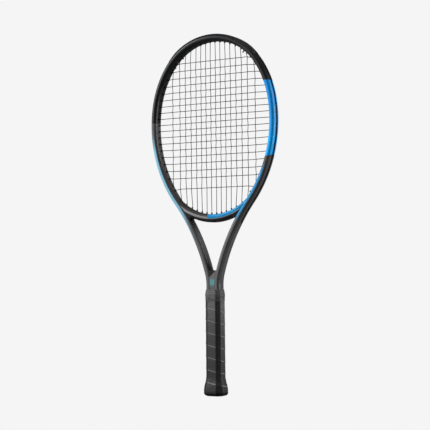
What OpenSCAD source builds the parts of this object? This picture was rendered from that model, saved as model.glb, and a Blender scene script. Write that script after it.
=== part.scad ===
// Tennis racket: a hollow bent tube, strung with two woven strings, on a moulded and taped handle.
// The face lies in the XZ plane with its front towards -Y. The origin is the middle of the butt's rim.

/* [Frame] */
// Length from the butt's rim to the tip of the bumper guard
racket_length = 685.8; // [680:0.1:692]
// Width of the hoop's tube, in the plane of the face
tube_w = 12.5; // [12:0.1:13]
// Depth of the hoop's tube, front to back
beam_d = 23; // [21:0.5:25]
// Wall of the tube
tube_wall = 1.4; // [1.2:0.1:1.9]
// Radius of the crown of the hoop, on the tube's middle line
crown_r = 118; // [116:0.5:121]
// Radius of each shoulder of the hoop
shoulder_r = 176; // [172:1:180]
// Radius of each side of the hoop, below the shoulders
side_r = 246; // [242:1:250]
// Radius of the quick bend where each arm leaves the handle
fork_r = 86; // [80:1:92]
// Distance of each shaft's middle line from the axis, in the handle
shaft_x = 8.6; // [8.4:0.1:9]
// Depth of the string groove round the outside of the hoop
groove_depth = 2.4; // [2.2:0.1:2.6]
// Width of the string groove
groove_w = 6.4; // [6.2:0.1:6.8]

/* [Throat] */
// Height of the bridge's middle line above the butt, at its lowest point
bridge_z = 337; // [332:1:342]
// Radius of the bridge's middle line
bridge_r = 115; // [112:1:118]
// Width of the bridge, in the plane of the face
bridge_w = 12; // [11:0.5:12]
// Depth of the bridge, front to back
bridge_d = 21; // [20:0.5:22]
// Radius of the fillet between the underside of the bridge and each arm
fillet_r = 5; // [4:0.5:7]
// Height of the top of the filler where the two shafts meet
wedge_top = 236; // [232:1:240]
// Depth of that filler, front to back
wedge_d = 22; // [20:0.5:22.5]

/* [Strings] */
// Diameter of the string
string_d = 1.3; // [1.2:0.05:1.35]
// Spacing of the two middle main strings
main_pitch = 10.7; // [10.2:0.1:11]
// How much wider each gap between main strings is than the one before, going outwards
main_growth = 0.5; // [0.45:0.01:0.53]
// Extra width of the outermost gap between main strings
main_edge = 2.9; // [2.5:0.1:3.2]
// Spacing of the cross strings in the middle of the face
cross_pitch = 12; // [11.8:0.1:12.2]
// Extra height of the lowest gap between cross strings
cross_edge = 5.5; // [5:0.1:6]
// Height of the tenth cross string above the butt, the middle one
cross_mid_z = 519; // [517:1:521]

/* [Grommets] */
// Diameter of the holes through the tube
hole_d = 3.4; // [3.2:0.1:3.6]
// Gap round each grommet barrel in its hole
barrel_gap = 0.1; // [0.05:0.01:0.15]
// Bore of each grommet barrel
barrel_bore = 1.8; // [1.7:0.05:1.9]
// Length of barrel that stands out inside the hoop
barrel_tip = 2.4; // [1.6:0.1:2.8]
// Thickness of the grommet strips
strip_t = 0.8; // [0.6:0.1:0.9]
// Thickness of the bumper guard over the tip of the hoop
bumper_t = 1.2; // [1:0.1:1.6]

/* [Handle] */
// Height of the top of the moulded pallets
pallet_top = 190; // [186:1:196]
// Width of the bare handle, across its narrow sides
pallet_w = 31.6; // [31:0.1:32.2]
// Depth of the bare handle, front to back
pallet_d = 27.6; // [27:0.1:28.2]
// Distance from the axis to each of the four bevels of the bare handle
pallet_bevel = 16.3; // [16:0.1:16.6]
// Thickness of the grip tape
tape_t = 1.1; // [0.9:0.1:1.3]
// How far the butt flares beyond the handle
flare = 4.5; // [4:0.1:5]
// Height up to which the butt flares
flare_top = 38; // [36:1:42]
// Height of the bare rim of the butt cap below the tape
rim_h = 6; // [5:0.5:7]
// Wall of the butt cap's skirt
skirt_t = 0.8; // [0.7:0.1:1]
// Radius of the rounded edge of the butt
butt_round = 6; // [5:0.5:6.5]
// Width of the finishing tape round the top of the grip
finishing_w = 12; // [10:1:14]
// Thickness of the finishing tape
finishing_t = 0.3; // [0.2:0.05:0.4]
// Height of the rubber collar at the top of the grip
collar_h = 17; // [15:1:19]

/* [Trap door] */
// Diameter of the trap door's cover disc
door_d = 20.8; // [20:0.1:21]
// Thickness of the cover disc
door_t = 1.5; // [1.2:0.1:1.8]
// Diameter of the door's snap skirt
snap_d = 17.8; // [17:0.1:18]
// Height of the snap skirt above the disc
snap_h = 4; // [3.5:0.5:5]
// How far the door sits inside the rim
door_recess = 0.9; // [0.7:0.1:1.2]
// Gap round the snap skirt
door_gap = 0.08; // [0.06:0.01:0.1]

/* [Hidden] */
// The heights above hold for a racket of the usual length. In a longer one all but the handle moves up.
usual_length = 685.8;
growth = racket_length - usual_length;
wedge_z = wedge_top + growth;
pallets_z = pallet_top + growth;

// Swept pieces share this overlap at each joint between arcs, so that they fuse into one solid.
seam = 0.001;
// Soft touching faces of separate pieces stay this far apart.
touch = 0.05;
smooth = 180;
round_fn = 32;

// ---- Section of the tube: a box with elliptical corners, in [outwards, depth] ----
corner_steps = 4;
corner_out = 0.7;
corner_depth = 0.565;
half_w = tube_w / 2;
half_d = beam_d / 2;
function corner(w, d, cw, cd, steps) =
    [for (i = [0 : steps]) let (t = 90 * i / steps) [w - cw + cw * cos(t), d - cd + cd * sin(t)]];
function flip_w(pts) = [for (i = [len(pts) - 1 : -1 : 0]) [-pts[i][0], pts[i][1]]];
function flip_d(pts) = [for (i = [len(pts) - 1 : -1 : 0]) [pts[i][0], -pts[i][1]]];
function rounded_box(w, d, steps) =
    let (top = corner(w, d, corner_out * w, corner_depth * d, steps), upper = concat(top, flip_w(top)))
    concat(upper, flip_d(upper));
groove_taper = 0.4;
groove_edge = [[half_w - groove_depth, groove_w / 2 - groove_taper], [half_w, groove_w / 2]];
function grooved_box() = concat(groove_edge, rounded_box(half_w, half_d, corner_steps), flip_d(groove_edge));
web = 1.2;
cavity_w = half_w - (tube_wall + groove_depth + web) / 2;
cavity_shift = (tube_wall - groove_depth - web) / 2;

module tube_section(grooved) {
    polygon(grooved ? grooved_box() : rounded_box(half_w, half_d, corner_steps));
}
module cavity_section() {
    translate([cavity_shift, 0])
        polygon(rounded_box(cavity_w, half_d - tube_wall, 2));
}

// ---- Middle line of the tube: five tangent arcs a side, as [centre, radius] in the XZ plane ----
// Angles of the outward normal at which the hoop's arcs meet, and lean of the arm at each end of its arc.
shoulder_from = 9;
crown_from = 35;
arm_lean = 37.5;
fork_lean = 15;
function snapped(p) = [round(1000 * p[0]) / 1000, round(1000 * p[1]) / 1000];
function along(a) = [cos(a), sin(a)];
crown_c = [0, racket_length - bumper_t - half_w - crown_r];
shoulder_c = snapped(crown_c + (crown_r - shoulder_r) * along(crown_from));
side_c = snapped(shoulder_c + (shoulder_r - side_r) * along(shoulder_from));
// The arm's radius is the one that brings the fork onto the shafts.
arm_r = round(1000 * (shaft_x + fork_r - fork_r * cos(fork_lean) - side_c[0] - side_r * cos(arm_lean))
    / (cos(arm_lean) - cos(fork_lean))) / 1000;
arm_c = snapped(side_c + (side_r + arm_r) * along(-arm_lean));
fork_c = snapped(arm_c - (arm_r - fork_r) * along(-fork_lean));
leg_x = fork_c[0] - fork_r;
fork_z = fork_c[1];
face_top = racket_length - bumper_t - tube_w;

module arc(c, r, from, to, outwards = true) {
    spare = seam / r * 180 / PI;
    translate([c[0], 0, c[1]])
        rotate([90, 0, 0])
            rotate_extrude(start = from - spare, angle = to - from + 2 * spare, $fn = smooth)
                translate([r, 0])
                    mirror([outwards ? 0 : 1, 0])
                        children();
}
module leg(from, to) {
    translate([leg_x, 0, from])
        linear_extrude(to - from + seam)
            children();
}
module arm_low() {
    arc(fork_c, fork_r, 180 - fork_lean, 180, false)
        children();
    arc(arm_c, arm_r, 180 - groove_lean, 180 - fork_lean, false)
        children();
}
module arm_high(from = groove_lean) {
    arc(arm_c, arm_r, 180 - arm_lean, 180 - from, false)
        children();
}
module hoop_side() {
    arc(side_c, side_r, -arm_lean, shoulder_from)
        children();
    arc(shoulder_c, shoulder_r, shoulder_from, crown_from)
        children();
}
module both_sides() {
    children();
    mirror([1, 0, 0])
        children();
}

// ---- Places on the hoop, by the angle of its outward normal, from the right arm round to the left ----
function arc_centre(a) = a < shoulder_from ? side_c : a < crown_from ? shoulder_c : crown_c;
function arc_radius(a) = a < shoulder_from ? side_r : a < crown_from ? shoulder_r : crown_r;
function mirrored(p) = [-p[0], p[1]];
function rim(a, out) = a > 90 ? mirrored(rim(180 - a, out)) : arc_centre(a) + (arc_radius(a) + out) * along(a);
function rim3(a, out, y) = let (p = rim(a, out)) [p[0], y, p[1]];
inner_shoulder = rim(shoulder_from, -half_w);
inner_crown = rim(crown_from, -half_w);
function angle_at_height(z) =
    z > inner_crown[1] ? asin((z - crown_c[1]) / (crown_r - half_w))
    : z > inner_shoulder[1] ? asin((z - shoulder_c[1]) / (shoulder_r - half_w))
    : asin((z - side_c[1]) / (side_r - half_w));
function top_angle(x) =
    x < inner_crown[0] ? acos((x - crown_c[0]) / (crown_r - half_w))
    : acos((x - shoulder_c[0]) / (shoulder_r - half_w));
function low_angle(x) = -acos((x - side_c[0]) / (side_r - half_w));

// ---- The bridge: one arc, by the angle from straight down ----
bridge_half = bridge_w / 2;
bridge_c = [0, bridge_z + growth + bridge_r];
// Where two circles meet, on the right of the way from the first centre to the second, or on its left.
function meet(c1, r1, c2, r2, right = true) =
    let (way = c2 - c1, d = norm(way), u = way / d, t = (d * d + r1 * r1 - r2 * r2) / (2 * d))
    c1 + t * u + (right ? 1 : -1) * sqrt(r1 * r1 - t * t) * [u[1], -u[0]];
function heading(p) = atan2(p[1], p[0]);
// The bridge ends on the middle line of the arm or, higher up, of the hoop's side.
arm_meet = meet(bridge_c, bridge_r, arm_c, arm_r);
bridge_end = 180 - heading(arm_meet - arm_c) < arm_lean ? arm_meet
    : meet(bridge_c, bridge_r, side_c, side_r, false);
bridge_span = 90 + heading(bridge_end - bridge_c);
core_span = bridge_span - 8;
bridge_wall = 1.8;
bridge_groove = 2;
function bridge3(a, out, y) =
    [(bridge_r + out) * sin(a), y, bridge_c[1] - (bridge_r + out) * cos(a)];
function bridge_angle(x) = asin(x / (bridge_r - bridge_half));

// ---- The junction of bridge and arm: by the lean of the arm, on lines through the middle of its arc ----
function arm3(lean, out, y) = let (r = arm_r - out) [arm_c[0] - r * cos(lean), y, arm_c[1] + r * sin(lean)];
function bridge_top(x) = [x, bridge_c[1] - sqrt(pow(bridge_r - bridge_half, 2) - x * x)];
function arm_hole(x) = let (p = bridge_top(x)) atan((p[1] - arm_c[1]) / (arm_c[0] - p[0]));
// Distance of the bridge's upper face from the arm's middle line, along that hole.
function arm_hole_in(x) = arm_r - norm(bridge_top(x) - arm_c);

// ---- String positions ----
mains = 8;
crosses = 19;
bridge_mains = 4;
arm_mains = 6;
// Main i of each side, counted from the middle. Each gap outwards is a little wider than the last.
function main_x(i) =
    main_pitch * (i - 0.5) + main_growth * sum_to(max(0, i - 3)) + (i == mains ? main_edge : 0);
// Cross j, counted from the tip. The gaps widen towards the tip and, more, towards the throat.
widen_up = 0.42;
widen_down = 0.35;
function sum_to(n) = n * (n + 1) / 2;
function cross_z(j) =
    let (up = 10 - j)
    cross_mid_z + growth + cross_pitch * up
    + (up >= 0 ? widen_up * sum_to(max(0, up - 3)) : -widen_down * sum_to(-up - 1) - (j == crosses ? cross_edge : 0));
// The lowest holes in the hoop are drilled this far apart from where their strings would meet it.
low_main_shift = 0.9;
last_cross_shift = -0.8;
top_angles = [for (i = [1 : mains]) top_angle(main_x(i))];
function low_hole(i) = low_angle(main_x(i)) + (i == mains ? low_main_shift : 0);
low_angles = [for (i = [arm_mains + 1 : mains]) low_hole(i)];
cross_angles = [for (j = [1 : crosses]) angle_at_height(cross_z(j)) + (j == crosses ? last_cross_shift : 0)];
bridge_angles = [for (i = [1 : bridge_mains], s = [-1, 1]) s * bridge_angle(main_x(i))];
// Each tie-off hole lies half way between two string holes.
tie_main = (top_angles[mains - 3] + top_angles[mains - 2]) / 2;
tie_cross_first = (top_angles[mains - 1] + cross_angles[0]) / 2;
tie_cross_last = (cross_angles[crosses - 1] + low_hole(mains - 1)) / 2;
// The string groove runs down the arm to just past the lowest hole in it.
groove_lean = arm_hole(main_x(bridge_mains + 1)) - 1.2;
right_holes = concat(top_angles, low_angles, cross_angles, [tie_main, tie_cross_last]);
left_holes = [for (a = concat(top_angles, low_angles, cross_angles, [tie_main, tie_cross_first])) 180 - a];

// ---- Grommets ----
barrel_r = hole_d / 2 - barrel_gap;
strip_w = groove_w - 2 * groove_taper - 2 * touch - 0.4;
strip_floor = half_w - groove_depth + touch;
guard_from = 40.5;
reach = beam_d;
// A rod along the hoop's normal at angle a, between two distances from the middle line.
module rim_rod(a, r, from, to) {
    translate(rim3(a, from, 0))
        rotate([0, 90 - a, 0])
            cylinder(r = r, h = to - from, $fn = round_fn);
}
module bridge_rod(a, r, from, to) {
    translate(bridge3(a, from, 0))
        rotate([0, 180 - a, 0])
            cylinder(r = r, h = to - from, $fn = round_fn);
}
module arm_rod(lean, r, from, to) {
    translate(arm3(lean, from, 0))
        rotate([0, 90 + lean, 0])
            cylinder(r = r, h = to - from, $fn = round_fn);
}
module arm_barrels() {
    for (i = [bridge_mains + 1 : arm_mains])
        arm_rod(arm_hole(main_x(i)), barrel_r, arm_hole_in(main_x(i)) - barrel_tip, strip_floor + strip_t / 2);
}
module arm_holes(r) {
    for (i = [bridge_mains + 1 : arm_mains])
        arm_rod(arm_hole(main_x(i)), r, -2 * reach, reach / 2);
}
module rim_barrel(a) {
    rim_rod(a, barrel_r, -half_w - barrel_tip, strip_floor + strip_t / 2);
}
module rim_bore(a) {
    rim_rod(a, barrel_bore / 2, -reach, reach);
}
module strip_section() {
    translate([strip_floor, -strip_w / 2])
        square([strip_t, strip_w]);
}
guard_side = 2.1;
// The guard wraps the outer corners of the tube and lines the groove.
function guard_curve(gap) = [for (i = [2 : -1 : 0])
    corner(half_w + gap, half_d + gap, corner_out * half_w + gap, corner_depth * half_d + gap, corner_steps)[i]];
guard_outside = concat(guard_curve(bumper_t), [[half_w + bumper_t, guard_side], [strip_floor + strip_t, guard_side]]);
guard_inside = concat(guard_curve(touch), [[half_w + touch, groove_w / 2 - touch],
    [strip_floor, groove_w / 2 - groove_taper - touch]]);
module guard_section() {
    polygon(concat(guard_outside, flip_d(guard_outside), flip_d(flip_list(guard_inside)), flip_list(guard_inside)));
}
function flip_list(pts) = [for (i = [len(pts) - 1 : -1 : 0]) pts[i]];

// ---- Handle: eight-sided bodies, each the overlap of four extruded side views ----
function oct(grow) =
    let (w = pallet_w / 2 + grow, d = pallet_d / 2 + grow, e = (pallet_bevel + grow) * sqrt(2))
    [[w, e - w], [e - d, d], [d - e, d], [-w, e - w], [-w, w - e], [d - e, -d], [e - d, -d], [w, w - e]];
module oct_prism(grow, from, to) {
    translate([0, 0, from])
        linear_extrude(to - from)
            polygon(oct(grow));
}
// One side view: the height and growth pairs of line, on both sides of the axis at distance half.
module side_view(half, line, turn) {
    right = [for (p = line) [half + p[1], p[0]]];
    span = 60;
    rotate([90, 0, turn])
        translate([0, 0, -span / 2])
            linear_extrude(span)
                polygon(concat(right, flip_w(right)));
}
module oct_body(line, bevel_line) {
    intersection() {
        side_view(pallet_w / 2, line, 0);
        side_view(pallet_d / 2, line, 90);
        side_view(pallet_bevel, bevel_line, 45);
        side_view(pallet_bevel, bevel_line, -45);
    }
}
// The flare in steps, as pairs of height and growth. The bevels turn a little higher up than the flats do.
butt_steps = 5;
flare_from = 9;
bevel_lift = 0.4;
function flare_line(lift) = [for (i = [0 : butt_steps]) let (u = i / butt_steps)
    [flare_from + lift + (flare_top - flare_from) * u, flare / 2 * (1 + cos(180 * u))]];
// Outer line of the taped butt, from the rim upwards to height top.
function grown(line, grow) = [for (p = line) [p[0], p[1] + grow]];
round_line = [for (t = [90 : -30 : 0]) [butt_round * (1 - sin(t)), flare - butt_round * (1 - cos(t))]];
cap_top = 34;
shaft_bottom = 12;
pallet_bottom = 10;
chamber_wall = 2.5;
core_w = 5.4;
core_d = 9.5;
core_x = 7.4;
core_wall = 1.5;
grip_top = pallets_z;
door_hole_r = snap_d / 2 + door_gap;
door_top = door_recess + door_t;
door_seat = 0.1;
cap_floor = door_top + snap_h - 0.6;

module core_section(wall) {
    polygon(rounded_box(core_w - wall, core_d - wall, 2));
}
module core(from, to, wall) {
    both_sides()
        translate([core_x, 0, from])
            linear_extrude(to - from)
                core_section(wall);
}
module string_holes() {
    for (a = concat(right_holes, left_holes))
        rim_rod(a, hole_d / 2, -reach / 2, reach / 2);
    both_sides()
        arm_holes(hole_d / 2);
}

// ---- Frame ----
module frame_tube() {
    color([0.16, 0.17, 0.18])
        difference() {
            union() {
                both_sides() {
                    leg(pallets_z, fork_z)
                        tube_section(false);
                    arm_low()
                        tube_section(false);
                    arm_high()
                        tube_section(true);
                    hoop_side()
                        tube_section(true);
                }
                arc(crown_c, crown_r, crown_from, 180 - crown_from)
                    tube_section(true);
                core(shaft_bottom, pallets_z + seam, 0);
            }
            both_sides() {
                leg(pallets_z + core_wall, fork_z)
                    cavity_section();
                arm_low()
                    cavity_section();
                arm_high()
                    cavity_section();
                hoop_side()
                    cavity_section();
            }
            arc(crown_c, crown_r, crown_from, 180 - crown_from)
                cavity_section();
            core(shaft_bottom - 1, pallets_z + core_wall + seam, core_wall);
            string_holes();
        }
}
module bridge_arc(span) {
    arc(bridge_c, bridge_r, 270 - span, 270 + span)
        children();
}
module bridge_core_shape() {
    bridge_arc(core_span)
        translate([-bridge_groove / 2, 0])
            polygon(rounded_box(bridge_half - bridge_wall - bridge_groove / 2, bridge_d / 2 - bridge_wall, 2));
}
module bridge_holes(r) {
    for (a = bridge_angles)
        bridge_rod(a, r, -reach / 2, reach / 2);
}
strip_span = bridge_angle(main_x(bridge_mains)) + 1.8;
// The strip lies in a channel a little longer and wider than itself.
module bridge_channel() {
    bridge_arc(strip_span + 0.3)
        translate([bridge_half - bridge_groove, -strip_w / 2 - 0.2])
            square([2 * bridge_groove, strip_w + 0.4]);
}
// The fillet's circle touches the underside of the bridge and the inner side of the arm.
fillet_c = snapped(meet(bridge_c, bridge_r + bridge_half + fillet_r, arm_c, arm_r + half_w + fillet_r));
// The fillet is a turned-down end of the bridge, from its underside to the arm.
module bridge_fillet() {
    arc(fillet_c, fillet_r + bridge_half, heading(arm_c - fillet_c), heading(bridge_c - fillet_c))
        polygon(rounded_box(bridge_half, bridge_d / 2, corner_steps));
}
module throat_bridge() {
    color([0.13, 0.35, 0.6])
        difference() {
            union() {
                bridge_arc(bridge_span)
                    polygon(rounded_box(bridge_half, bridge_d / 2, corner_steps));
                both_sides()
                    bridge_fillet();
            }
            both_sides() {
                arm_low()
                    tube_section(false);
                arm_high()
                    tube_section(false);
                hoop_side()
                    tube_section(false);
            }
            bridge_channel();
            bridge_core_shape();
            bridge_holes(hole_d / 2);
            string_holes();
        }
}
module bridge_core() {
    color([0.85, 0.83, 0.75])
        difference() {
            bridge_core_shape();
            bridge_holes(hole_d / 2);
            both_sides() {
                arm_holes(hole_d / 2);
                arm_high()
                    square([2 * (half_w + touch), beam_d], center = true);
                hoop_side()
                    square([2 * (half_w + touch), beam_d], center = true);
            }
        }
}
wedge_saddle = 5;
module throat_wedge() {
    rise = wedge_z - fork_z;
    top_x = leg_x + rise * tan(fork_lean) * 0.6;
    color([0.3, 0.31, 0.32])
        difference() {
            translate([0, wedge_d / 2, 0])
                rotate([90, 0, 0])
                    linear_extrude(wedge_d)
                        polygon([[-leg_x, pallets_z], [leg_x, pallets_z], [leg_x, fork_z], [top_x, wedge_z],
                            [-top_x, wedge_z], [-leg_x, fork_z]]);
            translate([0, wedge_d, wedge_z + wedge_saddle / 2])
                rotate([90, 0, 0])
                    cylinder(r = wedge_saddle, h = 2 * wedge_d, $fn = round_fn);
            both_sides() {
                leg(pallets_z - 1, fork_z)
                    tube_section(false);
                arm_low()
                    tube_section(false);
            }
        }
}

// ---- Guard and grommets ----
guard_angles = [for (a = concat(right_holes, left_holes)) if (a > guard_from && a < 180 - guard_from) a];
module bumper_guard() {
    color([0.06, 0.06, 0.06])
        difference() {
            union() {
                arc(crown_c, crown_r, guard_from, 180 - guard_from)
                    guard_section();
                for (a = guard_angles)
                    rim_barrel(a);
            }
            for (a = guard_angles)
                rim_bore(a);
        }
}
module side_strip(angles) {
    difference() {
        union() {
            arm_high(arm_hole(main_x(bridge_mains + 1)) - strip_end)
                strip_section();
            arm_barrels();
            arc(side_c, side_r, -arm_lean, shoulder_from)
                strip_section();
            arc(shoulder_c, shoulder_r, shoulder_from, crown_from)
                strip_section();
            arc(crown_c, crown_r, crown_from, guard_from - 0.2)
                strip_section();
            for (a = angles)
                rim_barrel(a);
        }
        for (a = angles)
            rim_bore(a);
        arm_holes(barrel_bore / 2);
    }
}
// Each strip runs this far past its last hole, in degrees of the arm's arc.
strip_end = 0.5;
module right_grommet_strip() {
    color([0.07, 0.07, 0.07])
        side_strip([for (a = right_holes) if (a < guard_from) a]);
}
module left_grommet_strip() {
    color([0.07, 0.07, 0.07])
        mirror([1, 0, 0])
            side_strip([for (a = left_holes) if (a > 180 - guard_from) 180 - a]);
}
bridge_strip_floor = bridge_half - bridge_groove + touch;
module bridge_grommet_strip() {
    color([0.07, 0.07, 0.07])
        difference() {
            union() {
                bridge_arc(strip_span)
                    translate([bridge_strip_floor, -strip_w / 2])
                        square([strip_t, strip_w]);
                for (a = bridge_angles)
                    bridge_rod(a, barrel_r, -bridge_half - barrel_tip, bridge_strip_floor + strip_t / 2);
            }
            bridge_holes(barrel_bore / 2);
        }
}

// ---- Strings ----
weave = string_d / 2 + 0.03;
loop_out = strip_floor + strip_t + string_d / 2 + touch;
bridge_loop_out = bridge_strip_floor + strip_t + string_d / 2 + touch;
mouth = -half_w - barrel_tip - 0.3;
bridge_mouth = -bridge_half - barrel_tip - 0.3;
aside = 1.42;
lead = 4.5;
function over(i, j) = (i + j) % 2 == 0 ? 1 : -1;
function unit(v) = v / norm(v);
function lead_angle(a) = lead / arc_radius(a > 90 ? 180 - a : a) * 180 / PI;
// Along the groove from hole a to hole b, moved to depth y between them.
function rim_loop(a, b, y) =
    let (way = b > a ? 1 : -1, da = way * lead_angle(a), db = way * lead_angle(b))
    [for (t = [0, 0.5, 1]) rim3(a + da + t * (b - db - a - da), loop_out, y)];
function arm_loop(a, b) = [for (t = [0.25, 0.5, 0.75]) arm3(a + t * (b - a), loop_out, 0)];
function bridge_loop(a, b) = [for (t = [0.25, 0.5, 0.75]) bridge3(a + t * (b - a), bridge_loop_out, 0)];
// A main and a cross meet where both still run inside the hoop.
inside = 0.8;
function crossing(i, j) =
    let (z = cross_z(j))
    main_x(i) < rim(cross_angles[j - 1], mouth)[0] - inside
    && z < main_top(i)[0][2] - inside && z > main_low(i)[1][2] + inside;
// Main i of the right half, from the throat to the tip, crossing the cross strings over and under.
function main_low(i) = i <= bridge_mains
    ? [bridge3(bridge_angle(main_x(i)), bridge_loop_out, 0), bridge3(bridge_angle(main_x(i)), bridge_mouth, 0)]
    : i <= arm_mains
    ? [arm3(arm_hole(main_x(i)), loop_out, 0), arm3(arm_hole(main_x(i)), arm_hole_in(main_x(i)) - barrel_tip - 0.3, 0)]
    : [rim3(low_hole(i), loop_out, 0), rim3(low_hole(i), mouth, 0)];
function main_top(i) = [rim3(top_angle(main_x(i)), mouth, 0), rim3(top_angle(main_x(i)), loop_out, 0)];
function main_run(i, side) =
    let (low = main_low(i), high = main_top(i))
    concat(low,
        [for (j = [crosses : -1 : 1]) if (crossing(i, j)) [main_x(i), side * weave * over(i, j), cross_z(j)]],
        high);
function main_link(i) = i % 2 == 1
    ? (i < bridge_mains ? bridge_loop(bridge_angle(main_x(i)), bridge_angle(main_x(i + 1)))
        : i < arm_mains ? arm_loop(arm_hole(main_x(i)), arm_hole(main_x(i + 1)))
        : rim_loop(low_hole(i), low_hole(i + 1), -aside))
    : rim_loop(top_angle(main_x(i)), top_angle(main_x(i + 1)), i < arm_mains ? 0 : -aside);
// Past the first cross the tie-off changes sides in the groove.
tie_turn = (cross_angles[0] + top_angles[mains - 2]) / 2;
function rim_track(a, b, y) = [for (t = [0, 0.5, 1]) rim3(a + t * (b - a), loop_out, y)];
main_tie = let (s = lead_angle(tie_turn)) concat(
    rim_track(top_angles[mains - 1] + s, tie_turn - s / 2, -aside),
    rim_track(tie_turn + s / 2, tie_main - s, aside),
    [rim3(tie_main, loop_out, 0), rim3(tie_main, mouth, 0)]);
// Half the main string, from the middle of the tip down main 1, up main 2 and on to the tie-off.
function half_main(side) = concat(
    [for (i = [1 : mains]) each concat(
        i % 2 == 1 ? flip_list(main_run(i, side)) : main_run(i, side),
        i < mains ? main_link(i) : main_tie)]);
function across(pts) = [for (p = pts) [-p[0], p[1], p[2]]];
main_route = concat(flip_list(across(half_main(-1))), [rim3(90, loop_out, 0)], half_main(1));

function cross_run(j) =
    let (a = cross_angles[j - 1], tip = rim3(a, mouth, 0), end = rim3(a, loop_out, 0), z = cross_z(j))
    concat(across([end, tip]),
        [for (i = [mains : -1 : 1]) if (crossing(i, j)) [-main_x(i), weave * over(i, j), z]],
        [for (i = [1 : mains]) if (crossing(i, j)) [main_x(i), -weave * over(i, j), z]],
        [tip, end]);
function cross_link(j) =
    let (y = j == 1 || j == crosses - 1 ? aside : 0,
        pts = rim_loop(cross_angles[j - 1], cross_angles[j], y))
    j % 2 == 1 ? pts : across(pts);
first_tie = across([rim3(tie_cross_first, mouth, 0), rim3(tie_cross_first, loop_out, 0)]);
last_tie = [rim3(tie_cross_last, loop_out, 0), rim3(tie_cross_last, mouth, 0)];
cross_route = concat(first_tie,
    [for (j = [1 : crosses]) each concat(
        j % 2 == 1 ? cross_run(j) : flip_list(cross_run(j)),
        j < crosses ? cross_link(j) : [])],
    last_tie);

// A round cord along a route: one ring of sides at each point, square to the route there.
cord_sides = 6;
function ring_at(route, i) =
    let (last = len(route) - 1, t = unit(route[min(i + 1, last)] - route[max(i - 1, 0)]),
        u = unit(cross(t, [0, 1, 0])), v = cross(u, t))
    [for (k = [0 : cord_sides - 1]) let (a = 360 * (k + 0.5) / cord_sides)
        route[i] + string_d / 2 * (u * cos(a) + v * sin(a))];
module cord(route) {
    n = cord_sides;
    last = len(route) - 1;
    polyhedron(
        points = [for (i = [0 : last]) each ring_at(route, i)],
        faces = concat(
            [[for (k = [0 : n - 1]) k]],
            [for (i = [0 : last - 1], k = [0 : n - 1])
                [i * n + k, (i + 1) * n + k, (i + 1) * n + (k + 1) % n, i * n + (k + 1) % n]],
            [[for (k = [n - 1 : -1 : 0]) last * n + k]]));
}
module main_string() {
    color([0.25, 0.25, 0.26])
        cord(main_route);
}
module cross_string() {
    color([0.25, 0.25, 0.26])
        cord(cross_route);
}
knot_r = 1.5;
knot_h = 2.4;
module knot(a) {
    translate(rim3(a, mouth - touch, 0))
        rotate([0, -90 - a, 0])
            rotate_extrude($fn = round_fn)
                polygon([[0, 0], [knot_r - 0.4, 0], [knot_r, 0.5], [knot_r - 0.3, knot_h / 2],
                    [knot_r, knot_h - 0.5], [knot_r - 0.5, knot_h], [0, knot_h]]);
}
module string_knots() {
    color([0.2, 0.2, 0.2])
        for (a = [tie_main, 180 - tie_main, 180 - tie_cross_first, tie_cross_last])
            knot(a);
}

// ---- Handle ----
foam_len = 45;
module shaft_foam() {
    color([0.9, 0.85, 0.7])
        core(shaft_bottom, shaft_bottom + foam_len, core_wall + touch);
}
// Both pallets together: the bare handle round the two shafts.
module pallet_blank() {
    difference() {
        oct_prism(0, pallet_bottom, pallets_z);
        core(shaft_bottom, pallets_z + 1, 0);
        core(pallet_bottom - 1, shaft_bottom, core_wall);
        staples();
    }
}
module front_pallet() {
    color([0.55, 0.5, 0.4])
        intersection() {
            pallet_blank();
            translate([-reach, -2 * reach, 0])
                cube([2 * reach, 2 * reach, racket_length]);
        }
}
module rear_pallet() {
    color([0.55, 0.5, 0.4])
        intersection() {
            pallet_blank();
            translate([-reach, 0, 0])
                cube([2 * reach, 2 * reach, racket_length]);
        }
}
staple_wire = 0.6;
staple_w = 9;
staple_leg = 3.2;
staple_z = 27;
module staples() {
    out = pallet_d / 2 + skirt_t;
    for (s = [-1, 1])
        translate([0, s * out, staple_z])
            mirror([0, s > 0 ? 1 : 0, 0]) {
                translate([-staple_w / 2, 0, 0])
                    cube([staple_w, staple_wire, staple_wire]);
                for (x = [-staple_w / 2, staple_w / 2 - staple_wire])
                    translate([x, 0, 0])
                        cube([staple_wire, staple_leg, staple_wire]);
            }
}
module butt_staples() {
    color("silver")
        staples();
}
module butt_cap() {
    color([0.08, 0.08, 0.08])
        difference() {
            oct_body(cap_outer(0), cap_outer(bevel_lift));
            oct_prism(0, pallet_bottom, cap_top + 1);
            oct_prism(-chamber_wall, cap_floor, pallet_bottom + 1);
            translate([0, 0, -1])
                cylinder(r = door_hole_r, h = cap_floor + 2, $fn = 64);
            translate([0, 0, -1])
                cylinder(r = door_d / 2 + door_seat, h = 1 + door_top + touch, $fn = 64);
            staples();
        }
}
// The cap is bare up to the rim's height, and lies under the tape above it.
function cap_cover(lift) = [for (p = flare_line(lift)) if (p[0] < cap_top) [p[0], max(p[1], skirt_t)]];
function cap_outer(lift) = concat([for (p = grown(round_line, tape_t)) if (p[0] < rim_h) p],
    [[rim_h, flare + tape_t], [rim_h, flare]], cap_cover(lift), [[cap_top, skirt_t]]);
module trap_door() {
    color([0.1, 0.1, 0.1])
        rotate_extrude($fn = 64)
            polygon([[0, door_recess], [door_d / 2 - 0.4, door_recess], [door_d / 2, door_recess + 0.4],
                [door_d / 2, door_top], [snap_d / 2, door_top], [snap_d / 2, door_top + snap_h - 0.5],
                [snap_d / 2 - 0.4, door_top + snap_h], [snap_d / 2 - 1.4, door_top + snap_h],
                [snap_d / 2 - 1.4, door_top], [0, door_top]]);
}
function grip_outer(lift) =
    concat([[rim_h + touch, flare + tape_t]], grown(flare_line(lift), tape_t), [[grip_top, tape_t]]);
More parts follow.
